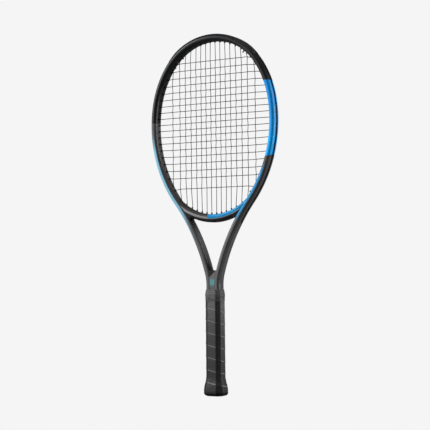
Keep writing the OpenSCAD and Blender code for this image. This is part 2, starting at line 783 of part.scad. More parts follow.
function grip_inner(lift) =
    concat([[rim_h - 1, flare + touch]], grown(cap_cover(lift), touch), [[cap_top + 1, skirt_t + touch]]);
module below(z) {
    intersection() {
        children();
        translate([-reach, -reach, -reach])
            cube([2 * reach, 2 * reach, z + reach]);
    }
}
module base_grip() {
    color([0.12, 0.12, 0.12])
        difference() {
            oct_body(grip_outer(0), grip_outer(bevel_lift));
            below(cap_top + touch)
                oct_body(grip_inner(0), grip_inner(bevel_lift));
            oct_prism(touch, cap_top - 1, grip_top + 1);
        }
}
module finishing_tape() {
    color([0.09, 0.09, 0.1])
        difference() {
            oct_prism(tape_t + touch + finishing_t, grip_top - finishing_w, grip_top);
            oct_prism(tape_t + touch, grip_top - finishing_w - 1, grip_top + 1);
        }
}
collar_lap = 4;
collar_wall = 0.6;
swell = tape_t + finishing_t + 2 * touch;
collar_line = [[grip_top - collar_lap, swell + collar_wall - 0.3], [grip_top - collar_lap + 0.5, swell + collar_wall],
    [grip_top + 1, swell + collar_wall], [grip_top - collar_lap + collar_h, -0.2]];
module grip_collar() {
    color([0.08, 0.08, 0.08])
        difference() {
            oct_body(collar_line, collar_line);
            oct_prism(swell, grip_top - collar_lap - 1, grip_top + touch);
            both_sides()
                leg(grip_top - 1, grip_top + collar_h)
                    tube_section(false);
            translate([-leg_x, -wedge_d / 2, grip_top - 1])
                cube([2 * leg_x, wedge_d, collar_h + 2]);
        }
}

frame_tube();
throat_bridge();
bridge_core();
throat_wedge();
bumper_guard();
left_grommet_strip();
right_grommet_strip();
bridge_grommet_strip();
main_string();
cross_string();
string_knots();
shaft_foam();
front_pallet();
rear_pallet();
butt_cap();
trap_door();
butt_staples();
base_grip();
finishing_tape();
grip_collar();
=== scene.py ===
"""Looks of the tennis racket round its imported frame. Metres, face in the XZ plane, front towards -Y."""
import math

import bpy
import numpy as np
from mathutils import Matrix


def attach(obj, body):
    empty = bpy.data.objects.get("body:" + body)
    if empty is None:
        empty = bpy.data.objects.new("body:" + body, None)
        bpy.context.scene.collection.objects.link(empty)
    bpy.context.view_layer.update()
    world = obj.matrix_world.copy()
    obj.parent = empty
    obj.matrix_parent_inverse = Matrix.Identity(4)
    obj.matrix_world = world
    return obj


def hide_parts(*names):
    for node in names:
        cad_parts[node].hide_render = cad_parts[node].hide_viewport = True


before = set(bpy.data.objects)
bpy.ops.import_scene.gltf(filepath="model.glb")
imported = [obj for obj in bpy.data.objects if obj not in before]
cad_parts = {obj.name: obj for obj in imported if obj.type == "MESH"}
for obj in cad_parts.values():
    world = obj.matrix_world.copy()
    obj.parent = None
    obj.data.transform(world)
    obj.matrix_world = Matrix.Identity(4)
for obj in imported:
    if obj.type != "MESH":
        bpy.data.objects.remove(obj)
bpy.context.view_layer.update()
MM = 0.001
BODY = "racket"
DOOR = "trap_door"


# ---------------------------------------------------------------- surfaces
def soften(corners, cut, steps, closed):
    """Rounds a polyline. Each corner V gives way to the curve (1-t)^2 A + 2t(1-t) V + t^2 B, where A and B
    lie on its two edges at the distance cut from V, or at most 0.48 of the edge."""
    v = np.asarray(corners, float)
    cut = np.broadcast_to(np.asarray(cut, float), len(v))[:, None]
    before, after = np.roll(v, 1, axis=0), np.roll(v, -1, axis=0)
    if not closed:
        before[0], after[-1] = v[0], v[-1]

    def on_edge(other):
        """The place on the edge to that neighbour where the rounding starts."""
        edge = other - v
        length = np.maximum(np.linalg.norm(edge, axis=1, keepdims=True), 1e-12)
        return v + edge / length * np.minimum(cut, 0.48 * length)

    a, b = on_edge(before)[:, None], on_edge(after)[:, None]
    t = np.linspace(0, 1, steps)[None, :, None]
    curve = (1 - t) ** 2 * a + 2 * t * (1 - t) * v[:, None] + t ** 2 * b
    if closed:
        return curve.reshape(-1, v.shape[1])
    return np.concatenate([v[:1], curve[1:-1].reshape(-1, v.shape[1]), v[-1:]])


def grid(points, close_rows=False, close_columns=False, caps=False, **data):
    """One surface through a grid of points, rows along it and columns round it. Caps close the first and
    last row with a fan to their middle. Returns points, faces and one value per point for each name in data."""
    m, n = points.shape[:2]
    rows = np.arange(m if close_rows else m - 1)
    columns = np.arange(n if close_columns else n - 1)
    i, j = (k.ravel() for k in np.meshgrid(rows, columns, indexing="ij"))

    def at(a, b):
        """The number of the point in row a and column b, both wrapped round."""
        return (a % m) * n + b % n

    faces = np.stack([at(i, j), at(i + 1, j), at(i + 1, j + 1), at(i, j + 1)], axis=1)
    flat = points.reshape(-1, 3)
    values = {k: np.broadcast_to(v, (m, n)).reshape(-1) for k, v in data.items()}
    if caps:
        ends = np.array([flat[:n].mean(axis=0), flat[-n:].mean(axis=0)])
        k = np.arange(n)
        last = m * n
        fans = np.concatenate([
            np.stack([np.full(n, last), k, (k + 1) % n, np.full(n, last)], axis=1),
            np.stack([np.full(n, last + 1), last - n + (k + 1) % n, last - n + k, np.full(n, last + 1)], axis=1)])
        values = {key: np.concatenate([v, [v[:n].mean(), v[-n:].mean()]]) for key, v in values.items()}
        flat = np.concatenate([flat, ends])
        faces = np.concatenate([faces, fans])
    return flat, faces_of(flat, faces), values


def faces_of(points, faces):
    """The faces turned so that their enclosed volume, the sum of A . (B x C) / 6, is positive."""
    a, b, c, d = (points[faces[:, k]] for k in range(4))
    volume = np.einsum("ij,ij->", a, np.cross(b, c)) + np.einsum("ij,ij->", a, np.cross(c, d))
    return faces if volume > 0 else faces[:, ::-1]


def joined(parts):
    """Several surfaces as one: their points and faces one after the other."""
    shift = np.cumsum([0] + [len(p[0]) for p in parts[:-1]])
    return (np.concatenate([p[0] for p in parts]),
            np.concatenate([p[1] + s for p, s in zip(parts, shift)]),
            {k: np.concatenate([p[2][k] for p in parts]) for k in parts[0][2]})


def piece(name, surface, material, slot, *nodes, body=BODY):
    """Makes the mesh of one piece, smooth shaded. A face whose last corner repeats its first is a triangle."""
    points, faces, values = surface
    fan = faces[:, 0] == faces[:, 3]
    back = faces[:, 0] == faces[:, 1]
    kept = np.ones(faces.shape, bool)
    kept[fan, 3] = False
    kept[back & ~fan, 0] = False
    corners = faces[kept]
    starts = np.concatenate([[0], np.cumsum(kept.sum(axis=1))[:-1]])
    mesh = bpy.data.meshes.new(name)
    mesh.vertices.add(len(points))
    mesh.vertices.foreach_set("co", points.astype(np.float32).ravel())
    mesh.loops.add(len(corners))
    mesh.loops.foreach_set("vertex_index", corners.astype(np.int32))
    mesh.polygons.add(len(faces))
    mesh.polygons.foreach_set("loop_start", starts.astype(np.int32))
    mesh.update(calc_edges=True)
    for key, value in values.items():
        mesh.attributes.new(key, "FLOAT", "POINT").data.foreach_set("value", value.astype(np.float32))
    mesh.polygons.foreach_set("use_smooth", np.ones(len(faces), bool))
    mesh.materials.append(material)
    mesh.validate()
    obj = bpy.data.objects.new(name, mesh)
    bpy.context.scene.collection.objects.link(obj)
    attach(obj, body)
    if nodes:
        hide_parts(*nodes)
    return obj


# ---------------------------------------------------------------- the tube's middle line
HALF_W, HALF_D = 6.25, 11.5
GROOVE, GROOVE_W = 2.4, 6.4
LEG_X, LEG_FROM, FORK_Z = 8.6, 190.0, 208.286
# Each arc: centre x, centre z, radius, the angles from its centre where it starts and ends, and 1 where
# the outside of the racket is away from the centre, -1 where it is towards it.
ARCS = (
    (0.0, 560.35, 118.0, 90.0, 35.0, 1),
    (-47.511, 527.083, 176.0, 35.0, 9.0, 1),
    (-116.649, 516.133, 246.0, 9.0, -37.5, 1),
    (386.463, 130.081, 388.159, 142.5, 165.0, -1),
    (94.6, 208.286, 86.0, 165.0, 180.0, -1),
)
CROWN, SHOULDER, SIDE, ARM = ARCS[:4]


def on_arc(arc, angle, out=0.0):
    """Points at angles from an arc's centre, moved outwards by out: centre + (radius +- out)(cos, sin)."""
    a = np.radians(angle)
    r = arc[2] + arc[5] * out
    return np.stack([arc[0] + r * np.cos(a), arc[1] + r * np.sin(a)], axis=-1)


def half_line(spacing):
    """The middle line from the tip down the right half: points, outward normals and the length from the tip."""
    points, normals, lengths, total = [], [], [], 0.0
    for arc in ARCS:
        span = math.radians(abs(arc[4] - arc[3])) * arc[2]
        angle = np.linspace(arc[3], arc[4], math.ceil(span / spacing) + 1)[:-1]
        points.append(on_arc(arc, angle))
        normals.append(arc[5] * np.stack([np.cos(np.radians(angle)), np.sin(np.radians(angle))], axis=1))
        lengths.append(total + np.abs(np.radians(angle - arc[3])) * arc[2])
        total += span
    z = np.linspace(FORK_Z, LEG_FROM, math.ceil((FORK_Z - LEG_FROM) / spacing) + 1)
    points.append(np.stack([np.full_like(z, LEG_X), z], axis=1))
    normals.append(np.tile([1.0, 0.0], (len(z), 1)))
    lengths.append(total + FORK_Z - z)
    return np.concatenate(points), np.concatenate(normals), np.concatenate(lengths)


def whole_line(spacing):
    """The middle line from the foot of the left shaft over the tip to the foot of the right one."""
    p, n, s = half_line(spacing)
    flip = np.array([-1.0, 1.0])
    return (np.concatenate([p[:0:-1] * flip, p]), np.concatenate([n[:0:-1] * flip, n]),
            np.concatenate([-s[:0:-1], s]))


def swept(points, normals, out, depth):
    """A section carried along a line: point + out * normal in the plane of the face, at that depth."""
    xz = points[:, None] + out[..., None] * normals[:, None]
    y = np.broadcast_to(depth, xz.shape[:2])
    return np.stack([xz[..., 0], y, xz[..., 1]], axis=-1) * MM


def smoothstep(x, low, high):
    """0 below low, 1 above high, and 3 t^2 - 2 t^3 between them."""
    t = np.clip((x - low) / (high - low), 0, 1)
    return t * t * (3 - 2 * t)


def girth_of(section):
    """Length round a closed section from its first point, folded back from half way round."""
    step = np.linalg.norm(np.roll(section, -1, axis=0) - section, axis=1)
    run = np.concatenate([[0], np.cumsum(step)[:-1]])
    return np.minimum(run, step.sum() - run)


# ---------------------------------------------------------------- the tube
TUBE_STEP = 1.8
# The groove runs out between these lengths from the tip, where the arms start.
GROOVE_FROM, GROOVE_TO, NO_GROOVE = 438.0, 446.0, 0.02
# Corners of the front half of the section as distance outwards, depth and how much each is rounded.
TUBE_CORNERS = np.array([
    (HALF_W - GROOVE, GROOVE_W / 2 - 0.4, 0.5), (HALF_W, GROOVE_W / 2, 0.4), (HALF_W, 5.0, 1.2),
    (4.97, 9.6, 1.9), (1.875, HALF_D, 1.3), (-1.875, HALF_D, 1.3), (-4.97, 9.6, 1.9), (-HALF_W, 5.0, 1.6)])


def tube_section(groove):
    """The closed section with its groove that deep, from the middle of the outside over the front."""
    front = TUBE_CORNERS.copy()
    front[0, 0] = HALF_W - groove
    back = front[::-1] * [1, -1, 1]
    whole = np.concatenate([front, back])
    ring = soften(whole[:, :2], whole[:, 2], 5, True)
    start = np.array([[HALF_W - groove, 0.0]])
    return np.concatenate([start, ring])


def tube_shell():
    """The tube: its section swept along the middle line, with the groove faded out down the arms."""
    line, normal, along = whole_line(TUBE_STEP)
    full, plain = tube_section(GROOVE), tube_section(NO_GROOVE)
    keep = 1 - smoothstep(np.abs(along), GROOVE_FROM, GROOVE_TO)
    section = plain[None] + keep[:, None, None] * (full - plain)[None]
    points = swept(line, normal, section[..., 0], -section[..., 1])
    return grid(points, close_columns=True, caps=True,
                along=along[:, None] * MM, girth=girth_of(full)[None] * MM)


# ---------------------------------------------------------------- holes and strings
CROWN_FROM, SHOULDER_FROM = 35.0, 9.0
MAINS, CROSSES, BRIDGE_MAINS, ARM_MAINS = 8, 19, 4, 6
BRIDGE_Z, BRIDGE_R, BRIDGE_HALF = 337.0, 115.0, 6.0
STRING_R, LOOP_OUT, BRIDGE_LOOP_OUT = 0.65, 5.4, 5.55
MOUTH, BRIDGE_MOUTH, ASIDE, LEAD, INSIDE = -8.95, -8.7, 1.42, 4.5, 0.8
DEG = 180.0 / math.pi


def rim(angle, out=0.0, y=0.0):
    """A place on the hoop by the angle of its outward normal, from the right arm round to the left."""
    if angle > 90:
        return rim(180 - angle, out, y) * [-1, 1, 1]
    cx, cz, r = (SIDE if angle < SHOULDER_FROM else SHOULDER if angle < CROWN_FROM else CROWN)[:3]
    a = math.radians(angle)
    return np.array([cx + (r + out) * math.cos(a), y, cz + (r + out) * math.sin(a)])


def bend_radius(angle):
    """The radius of the arc of the hoop that has this outward normal."""
    a = 180 - angle if angle > 90 else angle
    return (SIDE if a < SHOULDER_FROM else SHOULDER if a < CROWN_FROM else CROWN)[2]


def angle_at_height(z):
    """Where the inner wall reaches height z: asin((z - centre) / inner radius) on its own arc."""
    shoulder, side = rim(CROWN_FROM, -HALF_W)[2], rim(SHOULDER_FROM, -HALF_W)[2]
    arc = CROWN if z > shoulder else SHOULDER if z > side else SIDE
    return math.asin((z - arc[1]) / (arc[2] - HALF_W)) * DEG


def top_angle(x):
    """Where the inner wall of the tip reaches x: acos((x - centre) / inner radius) on its own arc."""
    arc = CROWN if x < rim(CROWN_FROM, -HALF_W)[0] else SHOULDER
    return math.acos((x - arc[0]) / (arc[2] - HALF_W)) * DEG


def on_bridge(angle, out):
    """A place on the bridge: its centre + (radius + out)(sin a, -cos a), with the angle from straight down."""
    a = math.radians(angle)
    r = BRIDGE_R + out
    return np.array([r * math.sin(a), 0.0, BRIDGE_Z + BRIDGE_R - r * math.cos(a)])


def bridge_angle(x):
    """The angle at which the bridge's upper face lies at x: asin(x / inner radius)."""
    return math.asin(x / (BRIDGE_R - BRIDGE_HALF)) * DEG


def on_arm(lean, out):
    """A place on the right arm: the arc's centre + (radius - out)(-cos a, sin a)."""
    a, r = math.radians(lean), ARM[2] - out
    return np.array([ARM[0] - r * math.cos(a), 0.0, ARM[1] + r * math.sin(a)])


def bridge_top(x):
    """Height of the bridge's upper face at x, from its circle."""
    return BRIDGE_Z + BRIDGE_R - math.sqrt((BRIDGE_R - BRIDGE_HALF) ** 2 - x * x)


def arm_hole(x):
    """Lean of a hole in the arm from the arc's centre to the string's place on the bridge's circle."""
    return math.atan2(bridge_top(x) - ARM[1], ARM[0] - x) * DEG


def arm_hole_in(x):
    """How far inside the arm's middle line that same place lies."""
    return ARM[2] - math.hypot(ARM[0] - x, bridge_top(x) - ARM[1])


def sum_to(n):
    """1 + 2 + ... + n."""
    return n * (n + 1) / 2


# Main i counted from the middle outwards, cross j from the tip down, in mm.
MAIN_X = {i: 10.7 * (i - 0.5) + 0.5 * sum_to(max(0, i - 3)) + (2.9 if i == MAINS else 0)
          for i in range(1, MAINS + 1)}
CROSS_Z = {j: 519 + 12 * (10 - j) + (0.42 * sum_to(max(0, 7 - j)) if j <= 10
                                     else -0.35 * sum_to(j - 11) - (5.5 if j == CROSSES else 0))
           for j in range(1, CROSSES + 1)}
TOP = {i: top_angle(x) for i, x in MAIN_X.items()}
LOW = {i: -math.acos((MAIN_X[i] - SIDE[0]) / (SIDE[2] - HALF_W)) * DEG + (0.9 if i == MAINS else 0)
       for i in range(ARM_MAINS + 1, MAINS + 1)}
CROSS = {j: angle_at_height(z) + (-0.8 if j == CROSSES else 0) for j, z in CROSS_Z.items()}
TIE_MAIN = (TOP[6] + TOP[7]) / 2
TIE_FIRST = (TOP[8] + CROSS[1]) / 2
TIE_LAST = (CROSS[19] + LOW[7]) / 2


def wave(i, j):
    """Side on which main i passes cross j; 0.86 mm at the bend, so that the rounded string peaks at 0.66."""
    return 0.86 if (i + j) % 2 == 0 else -0.86


def lead_angle(a):
    """The angle on the hoop that a lead of 4.5 mm takes there."""
    return LEAD / bend_radius(a) * DEG


def rim_track(a, b, y):
    """Three places in the groove from angle a to angle b at depth y."""
    return [rim(a + t * (b - a), LOOP_OUT, y) for t in (0, 0.5, 1)]


def rim_loop(a, b, y):
    """The string in the groove between the holes at a and b, with a lead left free at both ends."""
    way = 1 if b > a else -1
    return rim_track(a + way * lead_angle(a), b - way * lead_angle(b), y)


def main_low(i):
    """The lower hole of main i, from the groove to the mouth of its barrel."""
    x = MAIN_X[i]
    if i <= BRIDGE_MAINS:
        return [on_bridge(bridge_angle(x), BRIDGE_LOOP_OUT), on_bridge(bridge_angle(x), BRIDGE_MOUTH)]
    if i <= ARM_MAINS:
        return [on_arm(arm_hole(x), LOOP_OUT), on_arm(arm_hole(x), arm_hole_in(x) - 2.7)]
    return [rim(LOW[i], LOOP_OUT), rim(LOW[i], MOUTH)]


def main_top(i):
    """The upper hole of main i, from the mouth of its barrel to the groove."""
    return [rim(TOP[i], MOUTH), rim(TOP[i], LOOP_OUT)]


def crossing(i, j):
    """Whether main i meets cross j inside the hoop."""
    z = CROSS_Z[j]
    return (MAIN_X[i] < rim(CROSS[j], MOUTH)[0] - INSIDE and z < main_top(i)[0][2] - INSIDE
            and z > main_low(i)[1][2] + INSIDE)


def main_run(i, side):
    """Main i from its lower to its upper hole, bent to its side of each cross."""
    met = [np.array([MAIN_X[i], side * wave(i, j), CROSS_Z[j]]) for j in range(CROSSES, 0, -1) if crossing(i, j)]
    return main_low(i) + met + main_top(i)


def main_link(i):
    """The string outside the hoop between main i and the next: over the tip or under the throat."""
    x, x2 = MAIN_X[i], MAIN_X.get(i + 1)
    if i % 2 == 0:
        return rim_loop(TOP[i], TOP[i + 1], 0 if i < ARM_MAINS else -ASIDE)
    if i < BRIDGE_MAINS:
        a, b = bridge_angle(x), bridge_angle(x2)
        return [on_bridge(a + t * (b - a), BRIDGE_LOOP_OUT) for t in (0.25, 0.5, 0.75)]
    if i < ARM_MAINS:
        a, b = arm_hole(x), arm_hole(x2)
        return [on_arm(a + t * (b - a), LOOP_OUT) for t in (0.25, 0.5, 0.75)]
    return rim_loop(LOW[i], LOW[i + 1], -ASIDE)


def half_main(side):
    """From the middle of the tip down main 1, up main 2 and so on, and back to the tie-off."""
    route = []
    for i in range(1, MAINS + 1):
        run = main_run(i, side)
        route += run[::-1] if i % 2 == 1 else run
        route += main_link(i) if i < MAINS else []
    turn = (CROSS[1] + TOP[7]) / 2
    s = lead_angle(turn)
    return (route + rim_track(TOP[8] + s, turn - s / 2, -ASIDE) + rim_track(turn + s / 2, TIE_MAIN - s, ASIDE)
            + [rim(TIE_MAIN, LOOP_OUT), rim(TIE_MAIN, MOUTH)])


def across(route):
    """A route mirrored to the other half of the racket."""
    return [p * [-1, 1, 1] for p in route]


def cross_run(j):
    """Cross j from the left groove to the right one, bent to its side of each main."""
    z, tip, end = CROSS_Z[j], rim(CROSS[j], MOUTH), rim(CROSS[j], LOOP_OUT)
    met = [i for i in range(1, MAINS + 1) if crossing(i, j)]
    left = [np.array([-MAIN_X[i], wave(i, j), z]) for i in met[::-1]]
    right = [np.array([MAIN_X[i], -wave(i, j), z]) for i in met]
    return across([end, tip]) + left + right + [tip, end]


def cross_route():
    """All crosses from the tie-off by the tip downwards, joined by loops in the groove."""
    route = across([rim(TIE_FIRST, MOUTH), rim(TIE_FIRST, LOOP_OUT)])
    for j in range(1, CROSSES + 1):
        route += cross_run(j) if j % 2 == 1 else cross_run(j)[::-1]
        if j < CROSSES:
            link = rim_loop(CROSS[j], CROSS[j + 1], ASIDE if j in (1, CROSSES - 1) else 0)
            route += link if j % 2 == 1 else across(link)
    return route + [rim(TIE_LAST, LOOP_OUT), rim(TIE_LAST, MOUTH)]


def cord(route, radius, sides):
    """A round string along a route: rings centre + radius (u cos a + v sin a), square to the way there."""
    line = np.array(route)
    woven = (np.abs(line[:, 1]) > 0.5) & (np.abs(line[:, 1]) < 1.0)
    line = soften(line, np.where(woven, 3.2, 1.9), 5, False)
    way = np.gradient(line, axis=0)
    way /= np.linalg.norm(way, axis=1, keepdims=True)
    u = np.cross(way, [0.0, 1.0, 0.0])
    u /= np.linalg.norm(u, axis=1, keepdims=True)
    v = np.cross(u, way)
    a = 2 * np.pi * (np.arange(sides) + 0.5) / sides
    ring = (u[:, None] * np.cos(a)[None, :, None] + v[:, None] * np.sin(a)[None, :, None]) * radius
    run = np.concatenate([[0], np.cumsum(np.linalg.norm(np.diff(line, axis=0), axis=1))])
    return grid((line[:, None] + ring) * MM, close_columns=True, caps=True, run=run[:, None] * MM)


# ---------------------------------------------------------------- handle
PALLET_W, PALLET_D, PALLET_BEVEL = 15.8, 13.8, 16.3
TAPE_T, FLARE, FLARE_FROM, FLARE_TO, RIM_H, CAP_TOP, GRIP_TOP = 1.1, 4.5, 9.0, 38.0, 6.0, 34.0, 190.0
WIND, WIND_START = 23.1, 0.262
ROUND = 6.0


def octagon(theta, growth, edge=30.0):
    """Distance from the axis to the handle's eight flats: (sum (cos(theta - k) / d_k) ^ p) ^ (-1 / p)."""
    total = np.zeros(np.broadcast(theta, growth).shape)
    for k, d in enumerate((PALLET_W, PALLET_BEVEL, PALLET_D, PALLET_BEVEL) * 2):
        total = total + (np.maximum(np.cos(theta - k * np.pi / 4), 0) / (d + growth)) ** edge
    return total ** (-1 / edge)


def flare_at(z):
    """How far the handle has grown at z: half a cosine wave from the rim's flare to nothing."""
    u = np.clip((z - FLARE_FROM) / (FLARE_TO - FLARE_FROM), 0, 1)
    return FLARE / 2 * (1 + np.cos(np.pi * u))


def wound(z, theta):
    """Relief of the wound tape. Its turn is z / pitch + theta / 2 pi; each turn laps the one below it."""
    turn = (z / WIND + theta / (2 * np.pi) + WIND_START) % 1.0
    lap = smoothstep(turn, 0.0, 0.03) * np.exp(-turn * WIND / 4.5) * 0.5
    dip = -0.18 * smoothstep(turn, 0.93, 0.995)
    return lap + dip * (1 - smoothstep(turn, 0.995, 1.0))


def turned(z, reach, theta, **data):
    """A closed or capped surface round the axis from heights z and distances reach, both rows by columns."""
    z = np.broadcast_to(z, reach.shape)
    points = np.stack([reach * np.cos(theta), reach * np.sin(theta), z], axis=-1)
    return grid(points * MM, close_columns=True, **data)


def spread(count):
    """Angles all round the axis, as one row."""
    return np.linspace(-np.pi, np.pi, count, endpoint=False)[None, :]


def grip_surface():
    """The wound grip: the eight-sided handle grown by flare, tape and its relief, with its inner wall."""
    theta = spread(288)
    up = np.concatenate([np.linspace(RIM_H + 0.05, RIM_H + 0.6, 3),
                         np.linspace(RIM_H + 1.2, GRIP_TOP - 0.3, 330)])[:, None]
    soft_edge = 0.55 * (1 - smoothstep(up, RIM_H, RIM_H + 0.8))
    # Where the tape was pulled round the flare it lies in low waves.
    waves = 0.13 * np.sin(up / 2.3 + 2.2 * np.cos(3 * theta))
    waves = waves * smoothstep(up, 12, 20) * (1 - smoothstep(up, 26, 36))
    grown = flare_at(up) + TAPE_T - soft_edge + waves + wound(up, theta) * smoothstep(up, 26, 40)
    outer = octagon(theta, grown, 26.0)
    down = np.array([GRIP_TOP - 0.3, CAP_TOP + 0.05, CAP_TOP, 30.0, 24.0, 18.0, 12.0, RIM_H + 0.05])[:, None]
    inside = np.where(down <= CAP_TOP, np.maximum(flare_at(down), 0.8), flare_at(down)) + 0.05
    inner = octagon(theta, inside + 0 * theta, 60.0)
    z = np.concatenate([np.broadcast_to(up, outer.shape), np.broadcast_to(down, inner.shape)])
    return turned(z, np.concatenate([outer, inner]), theta, close_rows=True)


def ringed(profile, edge, theta):
    """A closed body round the axis whose section is the profile of pairs (height, growth beyond the handle)."""
    p = np.array(profile)
    return turned(p[:, :1], octagon(theta, p[:, 1:] + 0 * theta, edge), theta, close_rows=True)


def finishing_surface():
    """The finishing tape: a thin ring 12 mm high over the top of the grip."""
    a, b = TAPE_T + 0.05, TAPE_T + 0.35
    rows = [(178 + k, b) for k in range(1, 12)]
    line = [(178.0, a), (178.0, b - 0.08), (178.1, b)] + rows + [(189.9, b), (190.0, a)]
    return ringed(line, 26.0, spread(192))


def collar_surface():
    """The rubber collar: a bead over the tape's end, two ribs and a taper that closes over the shafts."""
    theta = spread(224)
    z = np.concatenate([np.linspace(186.0, 187.0, 9), np.linspace(187.1, 199.4, 130),
                        np.linspace(199.5, 199.9, 5)])
    taper = np.interp(z, [186, 190.5, 199.9], [1.72, 1.72, 0.25])
    bead = 0.3 * np.exp(-((z - 187.0) / 0.6) ** 2) + 0.4 * np.exp(-((z - 190.8) / 0.5) ** 2)
    ribs = sum(0.32 * np.exp(-((z - m) / 0.45) ** 2) for m in (194.4, 198.2))
    edge = 0.3 * (1 - smoothstep(z, 186.0, 186.5)) + 0.9 * smoothstep(z, 199.2, 199.9) ** 2
    outer = octagon(theta, (taper + bead + ribs - edge)[:, None] + 0 * theta, 24.0)
    inner = octagon(theta, np.array([[1.3], [1.3]]) + 0 * theta, 26.0)
    reach = np.concatenate([inner, outer])
    rows = np.concatenate([[190.0, 186.0], z])[:, None]
    return turned(np.broadcast_to(rows, reach.shape), reach, theta, caps=True)


def cap_surface():
    """The butt cap: rounded rim, skirt under the tape, and the stepped hole that the door snaps into."""
    theta = spread(224)
    t = np.radians(np.linspace(88, 0, 14))
    outer = [(ROUND * (1 - math.sin(a)), FLARE + TAPE_T - ROUND * (1 - math.cos(a))) for a in t]
    outer = outer[:-1] + [(RIM_H - 0.25, FLARE + TAPE_T), (RIM_H, FLARE + TAPE_T - 0.3), (RIM_H, FLARE)]
    skirt = [(z, float(max(flare_at(z), 0.8))) for z in np.linspace(RIM_H + 0.5, CAP_TOP, 24)]
    inside = [(CAP_TOP, 0.02), (10.0, 0.02), (10.0, -2.5), (5.8, -2.5)]
    eight = np.array(outer + skirt + inside)
    body = octagon(theta, eight[:, 1:] + 0 * theta, 44.0)
    hole = np.array([(5.8, 8.98), (2.45, 8.98), (2.45, 10.5), (0.3, 10.5), (0.0, 10.8)])
    round_part = hole[:, 1:] + 0 * theta
    z = np.concatenate([eight[:, 0], hole[:, 0]])[:, None]
    return turned(z, np.concatenate([body, round_part]), theta, close_rows=True)


def door_surface():
    """The trap door: a dished disc with a softened edge and, inside the hole, its snap skirt."""
    line = np.array([(0.98, 1.0), (1.0, 5.6), (0.9, 6.2), (0.9, 9.6), (0.95, 10.1), (1.3, 10.4), (2.4, 10.4),
                     (2.4, 8.9), (5.9, 8.9), (6.4, 8.5), (6.4, 7.5), (2.4, 7.5), (2.4, 1.0)])
    theta = spread(128)
    return turned(line[:, :1], line[:, 1:] + 0 * theta, theta, caps=True)


# ---------------------------------------------------------------- bridge
# Corners of the front half of the bridge's section: distance away from the strings, depth and rounding.
BRIDGE_CORNERS = np.array([
    (4.0, 2.75, 0.3), (6.0, 3.0, 0.5), (6.0, 4.8, 1.4), (4.6, 8.9, 1.9), (1.8, 10.5, 1.1), (-1.8, 10.5, 1.1),
    (-4.1, 8.9, 1.9), (-5.2, 4.6, 1.6)])
# Its underside: the swelling and the angle where that would end, the fillets, and the radius they are on.
SWELL, SWELL_HALF, FILLET, FILLET_FROM, UNDER_R = 4.3, 47.4, 7.0, 19.4, 124.0
# The bridge ends inside the arms. The underside fades away and the channel closes between these angles.
BRIDGE_SPAN, FADE_FROM, FADE_TO, CHANNEL_FROM, CHANNEL_TO = 44.5, 27.5, 32.5, 18.4, 20.4


def bridge_surface():
    """The bridge: an arc whose underside swells by 4.3 cos(90 a / 47.4) mm and runs into each arm by a fillet
    of 7 mm, depth of fillet = 7 - sqrt(49 - u^2), with u the way past its start. The channel ends before it."""
    a = np.linspace(-BRIDGE_SPAN, BRIDGE_SPAN, 297)
    swell = SWELL * np.cos(np.radians(90 * a / SWELL_HALF))
    shown = 1 - smoothstep(np.abs(a), FADE_FROM, FADE_TO)
    u = np.clip(np.radians(np.abs(a) - FILLET_FROM) * UNDER_R, 0, FILLET - 0.1)
    fillet = FILLET - np.sqrt(FILLET ** 2 - u * u)
    front = BRIDGE_CORNERS
    whole = np.concatenate([front, front[::-1] * [1, -1, 1]])
    ring = soften(whole[:, :2], whole[:, 2], 5, True)
    filled = ring.copy()
    filled[:, 0] = np.where((np.abs(ring[:, 1]) < 3.4) & (ring[:, 0] > 0), BRIDGE_HALF, ring[:, 0])
    keep = (1 - smoothstep(np.abs(a), CHANNEL_FROM, CHANNEL_TO))[:, None]
    out = filled[None, :, 0] + keep * (ring[:, 0] - filled[:, 0])[None]
    lower = smoothstep(filled[:, 0], -0.5, 5.5)[None] * np.where(np.abs(ring[:, 1]) < 2.9, 1 - keep, 1.0)
    out = out + (shown * (swell + fillet))[:, None] * lower
    way = np.stack([np.sin(np.radians(a)), -np.cos(np.radians(a))], axis=1)
    middle = np.array([0.0, BRIDGE_Z + BRIDGE_R]) + BRIDGE_R * way
    return grid(swept(middle, way, out, -ring[None, :, 1]), close_columns=True, caps=True,
                across=(out + BRIDGE_HALF) * MM)


# ---------------------------------------------------------------- bumper guard
# The angle where the guard ends, its thickness there and over the tip, how long it tapers, and its ribs.
GUARD_FROM, GUARD_THIN, GUARD_FULL, GUARD_TAPER, RIB_PITCH, RIB_DEEP = 40.5, 0.22, 1.2, 26.0, 7.0, 0.12


